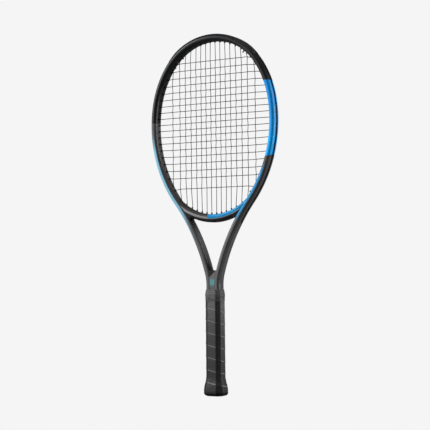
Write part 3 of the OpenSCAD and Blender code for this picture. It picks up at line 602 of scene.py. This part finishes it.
def guard_surface():
    """The bumper guard: a band over the tip's outer corners that lines the groove, thinner towards both ends."""
    from_tip = math.radians(90 - GUARD_FROM) * CROWN[2]
    line, normal, along = whole_line(1.2)
    keep = np.abs(along) <= from_tip
    line, normal, along = line[keep], normal[keep], along[keep]
    t = np.linspace(0, 1, 9) * 42.0

    def corner(gap):
        """An elliptic quarter round the tube's front corner, that far off its surface."""
        a = np.radians(t[::-1])
        cw, cd = 0.7 * HALF_W + gap, 0.565 * HALF_D + gap
        return np.stack([HALF_W + gap - cw + cw * np.cos(a), HALF_D + gap - cd + cd * np.sin(a)], axis=1)

    def section(thick):
        """The closed section of a guard of this thickness."""
        out = np.concatenate([corner(thick), [[HALF_W + thick, 3.6], [HALF_W + thick - 0.3, 2.3], [4.7, 2.1]]])
        inner = np.concatenate([[[3.9, 2.75], [HALF_W + 0.05, 3.15]], corner(0.05)[::-1]])
        return np.concatenate([out, out[::-1] * [1, -1], inner[::-1] * [1, -1], inner])

    thin, full = section(GUARD_THIN), section(GUARD_FULL)
    share = 1 - smoothstep(np.abs(along), from_tip - GUARD_TAPER, from_tip)
    # Shallow cross ribs, where the guard scrapes the court.
    ribs = RIB_DEEP * (0.5 + 0.5 * np.cos(2 * np.pi * along / RIB_PITCH)) ** 6 * share
    shape = thin[None] + share[:, None, None] * (full - thin)[None]
    on_top = (full[:, 0] > HALF_W + 0.5)[None]
    out = shape[..., 0] - ribs[:, None] * on_top
    return grid(swept(line, normal, out, -shape[..., 1]), close_columns=True, caps=True)


# ---------------------------------------------------------------- grommet barrels of the guard
def barrel(angle):
    """One barrel: a closed profile of pairs (distance outwards, radius) turned about the axis of its hole."""
    line = np.array([(4.2, 1.0), (4.2, 1.6), (-8.2, 1.6), (-8.55, 1.5), (-8.65, 1.3),
                     (-8.6, 1.0), (-8.3, 0.92)])
    foot, way = rim(angle, 0.0), rim(angle, 1.0) - rim(angle, 0.0)
    side = np.cross(way, [0.0, 1.0, 0.0])
    phi = np.linspace(0, 2 * np.pi, 20, endpoint=False)
    round_way = np.cos(phi)[:, None] * side + np.sin(phi)[:, None] * [0.0, 1.0, 0.0]
    points = foot + line[:, :1, None] * way + line[:, 1:, None] * round_way[None]
    return grid(points * MM, close_rows=True, close_columns=True)


def guard_barrels():
    """The barrels of every hole that the guard covers. The first tie-off hole is on the left only."""
    right = [*TOP.values(), *CROSS.values(), TIE_MAIN]
    left = [*right, TIE_FIRST]
    angles = [a for a in right if a >= GUARD_FROM] + [180 - a for a in left if a >= GUARD_FROM]
    return joined([barrel(a) for a in angles])


# ---------------------------------------------------------------- shader helpers
def srgb(r, g, b):
    """A colour given as 0 to 255 on a screen, as linear light."""
    c = np.array([r, g, b]) / 255.0
    lin = np.where(c <= 0.04045, c / 12.92, ((c + 0.055) / 1.055) ** 2.4)
    return (*[float(v) for v in lin], 1.0)


def put(tree, kind, sets=None, **props):
    """A new node with its properties set, and its sockets set or linked."""
    node = tree.nodes.new(kind)
    for key, value in props.items():
        setattr(node, key, value)
    for key, value in (sets or {}).items():
        if isinstance(value, bpy.types.NodeSocket):
            tree.links.new(value, node.inputs[key])
        else:
            node.inputs[key].default_value = value
    return node


def calc(tree, operation, *values):
    """One step of arithmetic."""
    return put(tree, "ShaderNodeMath", dict(enumerate(values)), operation=operation).outputs[0]


def blend_colour(tree, mask, low, high):
    """low where the mask is 0 and high where it is 1."""
    return put(tree, "ShaderNodeMix", {0: mask, 6: low, 7: high}, data_type="RGBA").outputs[2]


def mask_range(tree, value, low, high, low_to=0.0, high_to=1.0):
    """A smooth ramp of value, from low_to at low to high_to at high."""
    node = put(tree, "ShaderNodeMapRange", {0: value, 1: low, 2: high, 3: low_to, 4: high_to},
               interpolation_type="SMOOTHSTEP")
    return node.outputs[0]


def attribute(tree, name):
    """The piece's own attribute of that name."""
    return put(tree, "ShaderNodeAttribute", attribute_name=name).outputs["Fac"]


def new_group(name, inputs, outputs):
    """An empty shader group with its sockets, given as name: kind or (kind, start value)."""
    tree = bpy.data.node_groups.new(name, "ShaderNodeTree")
    for key, spec in inputs.items():
        kind, start = spec if isinstance(spec, tuple) else (spec, None)
        socket = tree.interface.new_socket(name=key, in_out="INPUT", socket_type=kind)
        if start is not None:
            socket.default_value = start
    for key, kind in outputs.items():
        tree.interface.new_socket(name=key, in_out="OUTPUT", socket_type=kind)
    return tree, tree.nodes.new("NodeGroupInput"), tree.nodes.new("NodeGroupOutput")


def use_group(tree, group, **sets):
    """A node of a shader group with its sockets set or linked."""
    return put(tree, "ShaderNodeGroup", sets, node_tree=group)


FLOAT, VECTOR = "NodeSocketFloat", "NodeSocketVector"


def make_band_group():
    """Mask of a band: smoothstep up at From and down again at To, each Soft wide on both sides."""
    inputs = {"At": FLOAT, "From": FLOAT, "To": FLOAT, "Soft": (FLOAT, 0.001)}
    tree, put_in, put_out = new_group("painted band", inputs, {"Mask": FLOAT})
    at, low, high, soft = (put_in.outputs[k] for k in ("At", "From", "To", "Soft"))
    up = mask_range(tree, at, calc(tree, "SUBTRACT", low, soft), calc(tree, "ADD", low, soft))
    down = mask_range(tree, at, calc(tree, "SUBTRACT", high, soft), calc(tree, "ADD", high, soft), 1.0, 0.0)
    tree.links.new(calc(tree, "MULTIPLY", up, down), put_out.inputs["Mask"])
    return tree


def make_lacquer_group():
    """Lacquer over carbon: fine flakes that lighten the paint, and the slow waves of a sprayed coat."""
    tree, put_in, put_out = new_group("sprayed lacquer", {"Place": VECTOR, "Flake size": (FLOAT, 4200.0)},
                                      {"Flake": FLOAT, "Wave": FLOAT, "Cloud": FLOAT})
    place = put_in.outputs["Place"]
    flake = put(tree, "ShaderNodeTexVoronoi", {"Vector": place, "Scale": put_in.outputs["Flake size"]})
    spark = mask_range(tree, flake.outputs["Color"], 0.55, 1.0)
    wave = put(tree, "ShaderNodeTexNoise", {"Vector": place, "Scale": 260.0, "Detail": 2.0})
    cloud = put(tree, "ShaderNodeTexNoise", {"Vector": place, "Scale": 34.0, "Detail": 4.0})
    tree.links.new(spark, put_out.inputs["Flake"])
    tree.links.new(wave.outputs["Fac"], put_out.inputs["Wave"])
    tree.links.new(cloud.outputs["Fac"], put_out.inputs["Cloud"])
    return tree


def make_grain_group():
    """Moulded grain: fine noise on coarse noise as height, and a tone that varies with the coarse one."""
    tree, put_in, put_out = new_group("moulded grain", {"Place": VECTOR, "Fineness": (FLOAT, 1800.0)},
                                      {"Height": FLOAT, "Tone": FLOAT})
    place, fine = put_in.outputs["Place"], put_in.outputs["Fineness"]
    small = put(tree, "ShaderNodeTexNoise", {"Vector": place, "Scale": fine, "Detail": 3.0})
    coarse = calc(tree, "MULTIPLY", fine, 0.06)
    large = put(tree, "ShaderNodeTexNoise", {"Vector": place, "Scale": coarse, "Detail": 4.0})
    share = calc(tree, "MULTIPLY", large.outputs["Fac"], 0.3)
    height = calc(tree, "ADD", calc(tree, "MULTIPLY", small.outputs["Fac"], 0.7), share)
    tree.links.new(height, put_out.inputs["Height"])
    tree.links.new(large.outputs["Fac"], put_out.inputs["Tone"])
    return tree


BAND = make_band_group()
LACQUER = make_lacquer_group()
GRAIN = make_grain_group()


def band(tree, at, low, high, soft):
    """Mask of a painted band from low to high, with edges that soft."""
    return use_group(tree, BAND, At=at, From=low, To=high, Soft=soft).outputs["Mask"]


def new_material(name, **settings):
    """A material with its Principled shader; settings go to the shader's own sockets."""
    material = bpy.data.materials.new(name)
    material.use_nodes = True
    tree = material.node_tree
    shader = tree.nodes["Principled BSDF"]
    for key, value in settings.items():
        shader.inputs[key.replace("_", " ")].default_value = value
    place = put(tree, "ShaderNodeTexCoord").outputs["Object"]
    return material, tree, shader, place


def bump(tree, shader, height, strength, distance):
    """Relief from a height, into the shader's normal."""
    node = put(tree, "ShaderNodeBump", {"Height": height, "Strength": strength, "Distance": distance})
    tree.links.new(node.outputs["Normal"], shader.inputs["Normal"])


TONE_SPREAD = 0.25


def moulded(name, tone, fineness, roughness, strength=0.25, **settings):
    """Plain moulded material: one tone that varies a little, with its grain as bump and in the roughness."""
    material, tree, shader, place = new_material(name, **settings)
    grain = use_group(tree, GRAIN, Place=place, Fineness=fineness)
    dark = tuple(c * (1 - TONE_SPREAD) for c in tone[:3]) + (1.0,)
    light = tuple(min(1.0, c * (1 + TONE_SPREAD)) for c in tone[:3]) + (1.0,)
    colour = blend_colour(tree, grain.outputs["Tone"], dark, light)
    tree.links.new(colour, shader.inputs["Base Color"])
    rough = mask_range(tree, grain.outputs["Tone"], 0.3, 0.7, roughness - 0.06, roughness + 0.06)
    tree.links.new(rough, shader.inputs["Roughness"])
    bump(tree, shader, grain.outputs["Height"], strength, 0.0002)
    return material


# ---------------------------------------------------------------- paint of tube, bridge and throat
def lacquered(name):
    """A lacquered material, its paint still to come: material, tree, shader, place and the lacquer's masks."""
    gloss = {"Coat_Weight": 0.03, "Coat_Roughness": 0.1, "Specular_IOR_Level": 0.12}
    material, tree, shader, place = new_material(name, **gloss)
    lacquer = use_group(tree, LACQUER, Place=place)
    tree.links.new(mask_range(tree, lacquer.outputs["Cloud"], 0.3, 0.7, 0.3, 0.42), shader.inputs["Roughness"])
    bump(tree, shader, lacquer.outputs["Wave"], 0.05, 0.0003)
    return material, tree, shader, place, lacquer


def layered(tree, colour, layers):
    """Paints each (mask, colour) over the last."""
    for mask, over in layers:
        colour = blend_colour(tree, mask, colour, over)
    return colour


def finished(tree, shader, colour, lacquer):
    """Fine flakes and soft clouds in the paint, then into the shader."""
    light = calc(tree, "MULTIPLY", lacquer.outputs["Flake"], 0.015)
    colour = blend_colour(tree, light, colour, srgb(150, 152, 156))
    dim = mask_range(tree, lacquer.outputs["Cloud"], 0.25, 0.6, 0.16, 0.0)
    tree.links.new(blend_colour(tree, dim, colour, srgb(12, 12, 13)), shader.inputs["Base Color"])


def both(tree, *masks):
    """Where all the masks are: their product."""
    out = masks[0]
    for mask in masks[1:]:
        out = calc(tree, "MULTIPLY", out, mask)
    return out


# The pale grey of the arms' front strip is a painted highlight.
GRAPHITE, BLACK, WALL, ARM_HIGHLIGHT = srgb(73, 73, 75), srgb(25, 26, 28), srgb(66, 64, 63), srgb(92, 92, 93)
# The navy of the groove is the blue paint with painted shade of the channel in it.
BLUE, LOW_BLUE, REAR_BLUE, SHADED_NAVY = srgb(0, 122, 194), srgb(0, 146, 216), srgb(66, 176, 240), srgb(0, 40, 92)
CYAN, PIN_LINE, STEEL = srgb(112, 160, 180), srgb(20, 50, 84), srgb(20, 118, 168)


def tube_paint():
    """Bands along the tube (s, mm from the tip, right positive) by bands round it (v, mm from the groove)."""
    material, tree, shader, place, lacquer = lacquered("graphite paint")
    s = calc(tree, "MULTIPLY", attribute(tree, "along"), 1000.0)
    v = calc(tree, "MULTIPLY", attribute(tree, "girth"), 1000.0)
    depth = put(tree, "ShaderNodeSeparateXYZ", {0: place}).outputs["Y"]
    front = mask_range(tree, depth, 0.0006, -0.0006)
    # The block from 163 mm to 296 mm to the right of the tip. Both its edges slant across the section.
    slanted = calc(tree, "SUBTRACT", s, calc(tree, "MULTIPLY", v, 0.36))
    upper = calc(tree, "ADD", s, calc(tree, "MULTIPLY", v, 0.25))
    block = both(tree, band(tree, slanted, -400.0, 296.0, 0.4), band(tree, upper, 163.5, 900.0, 0.4))
    # The light strip down the left of the hoop with a pin line beside it, and the blue inside of the right.
    left = band(tree, s, -464.0, -262.0, 28.0)
    strip = both(tree, left, front, band(tree, v, 9.6, 18.6, 0.25))
    pin = both(tree, left, front, band(tree, v, 18.9, 19.5, 0.15))
    inner = both(tree, front, band(tree, v, 15.4, 27.4, 0.3), band(tree, s, 326.0, 436.0, 14.0))
    # Both arms, with a pale front strip that is a painted highlight, and a dark line on the wall.
    arm = calc(tree, "MAXIMUM", band(tree, s, 440.0, 640.0, 22.0), band(tree, s, -640.0, -430.0, 22.0))
    arm_highlight = both(tree, arm, front, band(tree, v, 14.6, 20.4, 0.4))
    arm_line = both(tree, arm, band(tree, v, 8.2, 9.3, 0.3))
    lower = calc(tree, "MAXIMUM", band(tree, s, 292.0, 460.0, 12.0), band(tree, s, -460.0, -240.0, 12.0))
    wall = both(tree, lower, band(tree, v, 6.0, 33.0, 1.0))
    # The groove is painted navy: blue paint darkened with painted shade where the channel lies.
    groove = both(tree, block, band(tree, v, -1.0, 5.4, 0.2))
    rear = both(tree, block, mask_range(tree, front, 0.5, 0.4), band(tree, v, 5.4, 40.0, 0.2))
    colour = layered(tree, GRAPHITE, (
        (band(tree, s, -225.0, 165.0, 1.2), BLACK), (wall, WALL),
        (block, BLUE), (both(tree, block, mask_range(tree, s, 190.0, 280.0)), LOW_BLUE),
        (groove, SHADED_NAVY), (rear, REAR_BLUE),
        (strip, CYAN), (pin, PIN_LINE), (inner, STEEL), (arm_highlight, ARM_HIGHLIGHT), (arm_line, BLACK)))
    finished(tree, shader, colour, lacquer)
    return material


def bridge_finish():
    """Blue on the right of the bridge's front, a light line below it that is a painted highlight, and a dark
    underside that is painted shade.
    """
    material, tree, shader, place, lacquer = lacquered("bridge paint")
    x, y = put(tree, "ShaderNodeSeparateXYZ", {0: place}).outputs[:2]
    across = calc(tree, "MULTIPLY", attribute(tree, "across"), 1000.0)
    front = mask_range(tree, y, 0.0, -0.001)
    right = mask_range(tree, x, -0.0105, -0.0075)
    blue = both(tree, right, front, band(tree, across, -9.0, 8.8, 0.3))
    # The light line under the blue is a painted highlight.
    line = both(tree, front, band(tree, across, calc(tree, "MULTIPLY_ADD", right, 3.0, 5.8), 9.9, 0.25))
    # The dark underside is painted shade.
    underside_shade = band(tree, across, 10.3, 30.0, 0.4)
    colour = layered(tree, srgb(50, 49, 48), ((blue, srgb(0, 124, 178)), (line, srgb(124, 124, 126)),
                                              (underside_shade, srgb(30, 30, 32))))
    finished(tree, shader, colour, lacquer)
    return material


def throat_finish():
    """Warm grey filler with a small teal patch on its front, just under the fork of the arms, and painted shade
    over its tip between the arms.
    """
    material, tree, shader, place, lacquer = lacquered("throat paint")
    x, y, z = put(tree, "ShaderNodeSeparateXYZ", {0: place}).outputs
    up = calc(tree, "MULTIPLY", z, 1000.0)
    front = mask_range(tree, y, -0.008, -0.0095)
    patch = both(tree, front, band(tree, up, 208.4, 219.6, 3.5))
    # The upper tip of the filler's front, deep between the arms, is painted dark as shade.
    tip = both(tree, front, band(tree, up, 221.0, 260.0, 1.0))
    # The tip's lighter corner lies below a slanted line across the filler.
    rise = calc(tree, "SUBTRACT", up, calc(tree, "MULTIPLY", x, 894.0))
    corner = both(tree, tip, mask_range(tree, rise, 228.8, 228.0))
    colour = layered(tree, srgb(88, 91, 94), (
        (tip, srgb(34, 33, 33)), (corner, srgb(101, 97, 96)), (patch, srgb(92, 140, 142))))
    finished(tree, shader, colour, lacquer)
    return material


# ---------------------------------------------------------------- other materials
def make_winding_group():
    """How far round its turn the wound tape is at a place, 0 to 1: fract(z / pitch + angle / 2 pi + start)."""
    tree, put_in, put_out = new_group("wound turn", {"Place": VECTOR}, {"Turn": FLOAT, "Lap highlight": FLOAT})
    x, y, z = put(tree, "ShaderNodeSeparateXYZ", {0: put_in.outputs["Place"]}).outputs
    angle = calc(tree, "DIVIDE", calc(tree, "ARCTAN2", y, x), 2 * math.pi)
    run = calc(tree, "ADD", calc(tree, "DIVIDE", z, WIND * MM), calc(tree, "ADD", angle, WIND_START))
    turn = calc(tree, "FRACT", run)
    tree.links.new(turn, put_out.inputs["Turn"])
    # The second output marks a painted highlight along each lap edge, fading over the turn.
    end = mask_range(tree, turn, 0.05, 0.13, 1.0, 0.0)
    edge = calc(tree, "MULTIPLY", mask_range(tree, turn, 0.006, 0.02), end)
    tree.links.new(edge, put_out.inputs["Lap highlight"])
    return tree


def grip_finish():
    """Tacky synthetic leather with pores and creases across the turns; painted highlights towards the top and on
    each lap edge, painted shade towards the butt, under each lap and on the bevels.
    """
    material, tree, shader, place = new_material("grip leather", Specular_IOR_Level=0.25)
    winding = use_group(tree, make_winding_group(), Place=place)
    grain = use_group(tree, GRAIN, Place=place, Fineness=1500.0)
    pores = put(tree, "ShaderNodeTexVoronoi", {"Vector": place, "Scale": 900.0})
    pits = mask_range(tree, pores.outputs["Distance"], 0.1, 0.45)
    stretched = put(tree, "ShaderNodeMapping",
                    {"Vector": place, "Scale": (60.0, 60.0, 420.0), "Rotation": (0.25, 0.0, 0.0)})
    crease = put(tree, "ShaderNodeTexNoise", {"Vector": stretched.outputs[0], "Scale": 1.0, "Detail": 3.0})
    folds = mask_range(tree, crease.outputs["Fac"], 0.35, 0.65)
    x, y, up = put(tree, "ShaderNodeSeparateXYZ", {0: place}).outputs
    # The bevels are painted darker as shade: abs(sin(2 angle)) is largest there.
    turned_twice = calc(tree, "SINE", calc(tree, "MULTIPLY", calc(tree, "ARCTAN2", y, x), 2.0))
    bevel_shade = mask_range(tree, calc(tree, "ABSOLUTE", turned_twice), 0.76, 0.9)
    colour = layered(tree, srgb(50, 50, 51), (
        # Painted light: the grip is lighter towards its top.
        (mask_range(tree, up, 0.1, 0.19, 0.0, 0.9), srgb(94, 94, 95)),
        # Painted shade: the grip is darker towards the butt.
        (mask_range(tree, up, 0.12, 0.015, 0.0, 0.92), srgb(19, 19, 20)),
        (calc(tree, "MULTIPLY", grain.outputs["Tone"], 0.35), srgb(66, 66, 67)),
        (calc(tree, "MULTIPLY", folds, 0.25), srgb(30, 30, 31)),
        # A painted highlight along each lap edge.
        (calc(tree, "MULTIPLY", winding.outputs["Lap highlight"], 0.62), srgb(124, 124, 124)),
        (calc(tree, "MULTIPLY", bevel_shade, 0.9), srgb(13, 13, 14)),
        # Painted shade in the dip under each lap.
        (calc(tree, "MULTIPLY", mask_range(tree, winding.outputs["Turn"], 0.95, 0.995), 0.8), srgb(16, 16, 17))))
    tree.links.new(colour, shader.inputs["Base Color"])
    tree.links.new(mask_range(tree, grain.outputs["Tone"], 0.3, 0.7, 0.52, 0.7), shader.inputs["Roughness"])
    height = calc(tree, "ADD", calc(tree, "MULTIPLY", pits, 0.35), calc(tree, "MULTIPLY", folds, 0.65))
    height = calc(tree, "ADD", height, calc(tree, "MULTIPLY", grain.outputs["Height"], 0.5))
    bump(tree, shader, height, 0.45, 0.0003)
    return material


def string_material():
    """Dark polyester string: fine wraps that run round it, notched a little lighter where it was drawn."""
    material, tree, shader, place = new_material("dark string", Specular_IOR_Level=0.25)
    run = attribute(tree, "run")
    wrap = put(tree, "ShaderNodeTexNoise", {"Vector": place, "Scale": 2600.0, "Detail": 2.0})
    slow = calc(tree, "SINE", calc(tree, "MULTIPLY", run, 9000.0))
    grain = use_group(tree, GRAIN, Place=place, Fineness=5200.0)
    worn = calc(tree, "MULTIPLY", grain.outputs["Tone"], 0.5)
    colour = blend_colour(tree, worn, srgb(15, 14, 14), srgb(27, 25, 25))
    tree.links.new(colour, shader.inputs["Base Color"])
    tree.links.new(mask_range(tree, grain.outputs["Tone"], 0.3, 0.7, 0.3, 0.42), shader.inputs["Roughness"])
    height = calc(tree, "ADD", calc(tree, "MULTIPLY", slow, 0.15), wrap.outputs["Fac"])
    bump(tree, shader, height, 0.12, 0.0001)
    return material


# ---------------------------------------------------------------- camera, light and floor
def look_matrix(origin, right, up, back):
    """The matrix of an eye or lamp at origin with these three axes."""
    m = Matrix.Identity(4)
    for row in range(3):
        m[row][0], m[row][1], m[row][2], m[row][3] = right[row], up[row], back[row], origin[row]
    return m


# The eye: turned to the right of the face, tilted up and rolled, in degrees; then metres, and the lens in mm.
YAW, PITCH, ROLL = 30.0, 2.472, -0.567
DISTANCE, HEIGHT, SIDEWAYS, LENS, SENSOR = 2.2621, 0.2431, 0.00131, 99.9293, 36.0


def add_camera():
    """The viewing angle: to the right of the face and a little from below, rolled by rotating right and up."""
    yaw, pitch, roll = (math.radians(a) for a in (YAW, PITCH, ROLL))
    ahead0 = np.array([-math.sin(yaw), math.cos(yaw), 0.0])
    right0 = np.array([math.cos(yaw), math.sin(yaw), 0.0])
    up0 = np.array([0.0, 0.0, 1.0])
    ahead = ahead0 * math.cos(pitch) + up0 * math.sin(pitch)
    up1 = up0 * math.cos(pitch) - ahead0 * math.sin(pitch)
    right = right0 * math.cos(roll) + up1 * math.sin(roll)
    up = up1 * math.cos(roll) - right0 * math.sin(roll)
    data = bpy.data.cameras.new("camera")
    data.sensor_width = SENSOR
    data.lens = LENS
    data.clip_end = 100.0
    camera = bpy.data.objects.new("camera", data)
    bpy.context.scene.collection.objects.link(camera)
    origin = -ahead0 * DISTANCE + up0 * HEIGHT + right0 * SIDEWAYS
    camera.matrix_world = look_matrix(origin, right, up, -ahead)
    bpy.context.scene.camera = camera


def add_area_light(name, place, target, size, power):
    """A softbox of that size in metres and power in watts, turned towards its target."""
    back = np.array(place, float) - np.array(target, float)
    back /= np.linalg.norm(back)
    right = np.cross([0.0, 0.0, 1.0], back)
    right /= np.linalg.norm(right)
    data = bpy.data.lights.new(name, "AREA")
    data.shape = "RECTANGLE"
    data.size, data.size_y = size
    data.energy = power
    light = bpy.data.objects.new(name, data)
    bpy.context.scene.collection.objects.link(light)
    light.matrix_world = look_matrix(place, right, np.cross(back, right), back)


BACKDROP = srgb(245, 245, 245)
FILL, FLOOR_SIZE, FLOOR_TONE = 0.075, 6.0, 0.2
# Each light: name, place, target, size and power.
LIGHTS = (
    ("key", (-1.9, -1.5, 1.5), (0.0, 0.0, 0.35), (1.0, 1.6), 130.0),
    ("side", (2.2, 0.9, 0.9), (0.0, 0.0, 0.35), (0.8, 1.8), 68.0),
    ("top", (0.2, -0.4, 2.2), (0.0, 0.0, 0.4), (1.4, 1.0), 9.0),
)


def add_studio():
    """A plain pale world and floor, which only the camera sees at full strength, and three softboxes."""
    world = bpy.data.worlds.new("studio")
    bpy.context.scene.world = world
    world.use_nodes = True
    tree = world.node_tree
    tree.nodes.clear()
    seen = put(tree, "ShaderNodeLightPath").outputs["Is Camera Ray"]
    plain = put(tree, "ShaderNodeBackground", {"Color": BACKDROP, "Strength": 1.0})
    fill = put(tree, "ShaderNodeBackground", {"Color": (1.0, 1.0, 1.0, 1.0), "Strength": FILL})
    mix = put(tree, "ShaderNodeMixShader", {0: seen, 1: fill.outputs[0], 2: plain.outputs[0]})
    put(tree, "ShaderNodeOutputWorld", {"Surface": mix.outputs[0]})
    # The floor: a pale disc that the camera sees as plainly lit as the backdrop.
    material = bpy.data.materials.new("pale floor")
    material.use_nodes = True
    tree = material.node_tree
    shader = tree.nodes["Principled BSDF"]
    shader.inputs["Base Color"].default_value = (FLOOR_TONE, FLOOR_TONE, FLOOR_TONE, 1.0)
    shader.inputs["Roughness"].default_value = 1.0
    seen = put(tree, "ShaderNodeLightPath").outputs["Is Camera Ray"]
    plain = put(tree, "ShaderNodeEmission", {"Color": BACKDROP, "Strength": 1.0})
    mix = put(tree, "ShaderNodeMixShader", {0: seen, 1: shader.outputs[0], 2: plain.outputs[0]})
    tree.links.new(mix.outputs[0], tree.nodes["Material Output"].inputs["Surface"])
    angle = np.linspace(0, 2 * np.pi, 97)[:-1]
    edge = np.stack([FLOOR_SIZE * np.cos(angle), FLOOR_SIZE * np.sin(angle), 0 * angle], axis=1)
    mesh = bpy.data.meshes.new("floor")
    mesh.from_pydata(edge.tolist(), [], [list(range(len(edge)))])
    mesh.materials.append(material)
    floor = bpy.data.objects.new("floor", mesh)
    bpy.context.scene.collection.objects.link(floor)
    for light in LIGHTS:
        add_area_light(*light)


add_camera()
add_studio()

paint = tube_paint()
nylon = moulded("black nylon", srgb(17, 17, 18), 2600.0, 0.42, Specular_IOR_Level=0.35)
plastic = moulded("cap plastic", srgb(6, 6, 7), 2200.0, 0.45, Specular_IOR_Level=0.15)
rubber = moulded("collar rubber", srgb(56, 56, 57), 1500.0, 0.6)
tape = moulded("vinyl tape", srgb(60, 60, 61), 1200.0, 0.5, Specular_IOR_Level=0.3)
foam = moulded("poured foam", srgb(214, 196, 150), 900.0, 0.9, strength=0.6)
pallet_plastic = moulded("pallet plastic", srgb(120, 104, 80), 900.0, 0.85, strength=0.5)
steel = moulded("staple steel", srgb(170, 170, 172), 3000.0, 0.3, Metallic=1.0)
string_finish = string_material()
bridge_paint, throat_paint, grip_leather = bridge_finish(), throat_finish(), grip_finish()

piece("tube_shell", tube_shell(), paint, "carbon_frame", "frame_tube")
main_route = across(half_main(-1))[::-1] + [rim(90, LOOP_OUT)] + half_main(1)
piece("main_cord", cord(main_route, STRING_R, 12), string_finish, "string", "main_string")
piece("cross_cord", cord(cross_route(), STRING_R, 12), string_finish, "string", "cross_string")
piece("bridge_shell", bridge_surface(), bridge_paint, "bridge_shell", "throat_bridge")
piece("tapered_guard", joined([guard_surface(), guard_barrels()]), nylon, "grommet_nylon", "bumper_guard")
piece("wound_grip", grip_surface(), grip_leather, "grip_tape", "base_grip")
piece("top_tape", finishing_surface(), tape, "finishing_tape", "finishing_tape")
piece("ribbed_collar", collar_surface(), rubber, "collar_rubber", "grip_collar")
piece("cap_shell", cap_surface(), plastic, "cap_plastic", "butt_cap")
piece("door_disc", door_surface(), plastic, "cap_plastic", "trap_door", body=DOOR)

NODE_FINISH = {
    "bridge_core": foam, "throat_wedge": throat_paint,
    "left_grommet_strip": nylon, "right_grommet_strip": nylon, "bridge_grommet_strip": nylon,
    "string_knots": nylon, "shaft_foam": foam, "front_pallet": pallet_plastic, "rear_pallet": pallet_plastic,
    "butt_staples": steel,
}
for node_name, finish in NODE_FINISH.items():
    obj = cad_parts[node_name]
    if not obj.material_slots:
        obj.data.materials.append(finish)
    for place in obj.material_slots:
        place.material = finish

bpy.context.scene.view_settings.view_transform = "Standard"
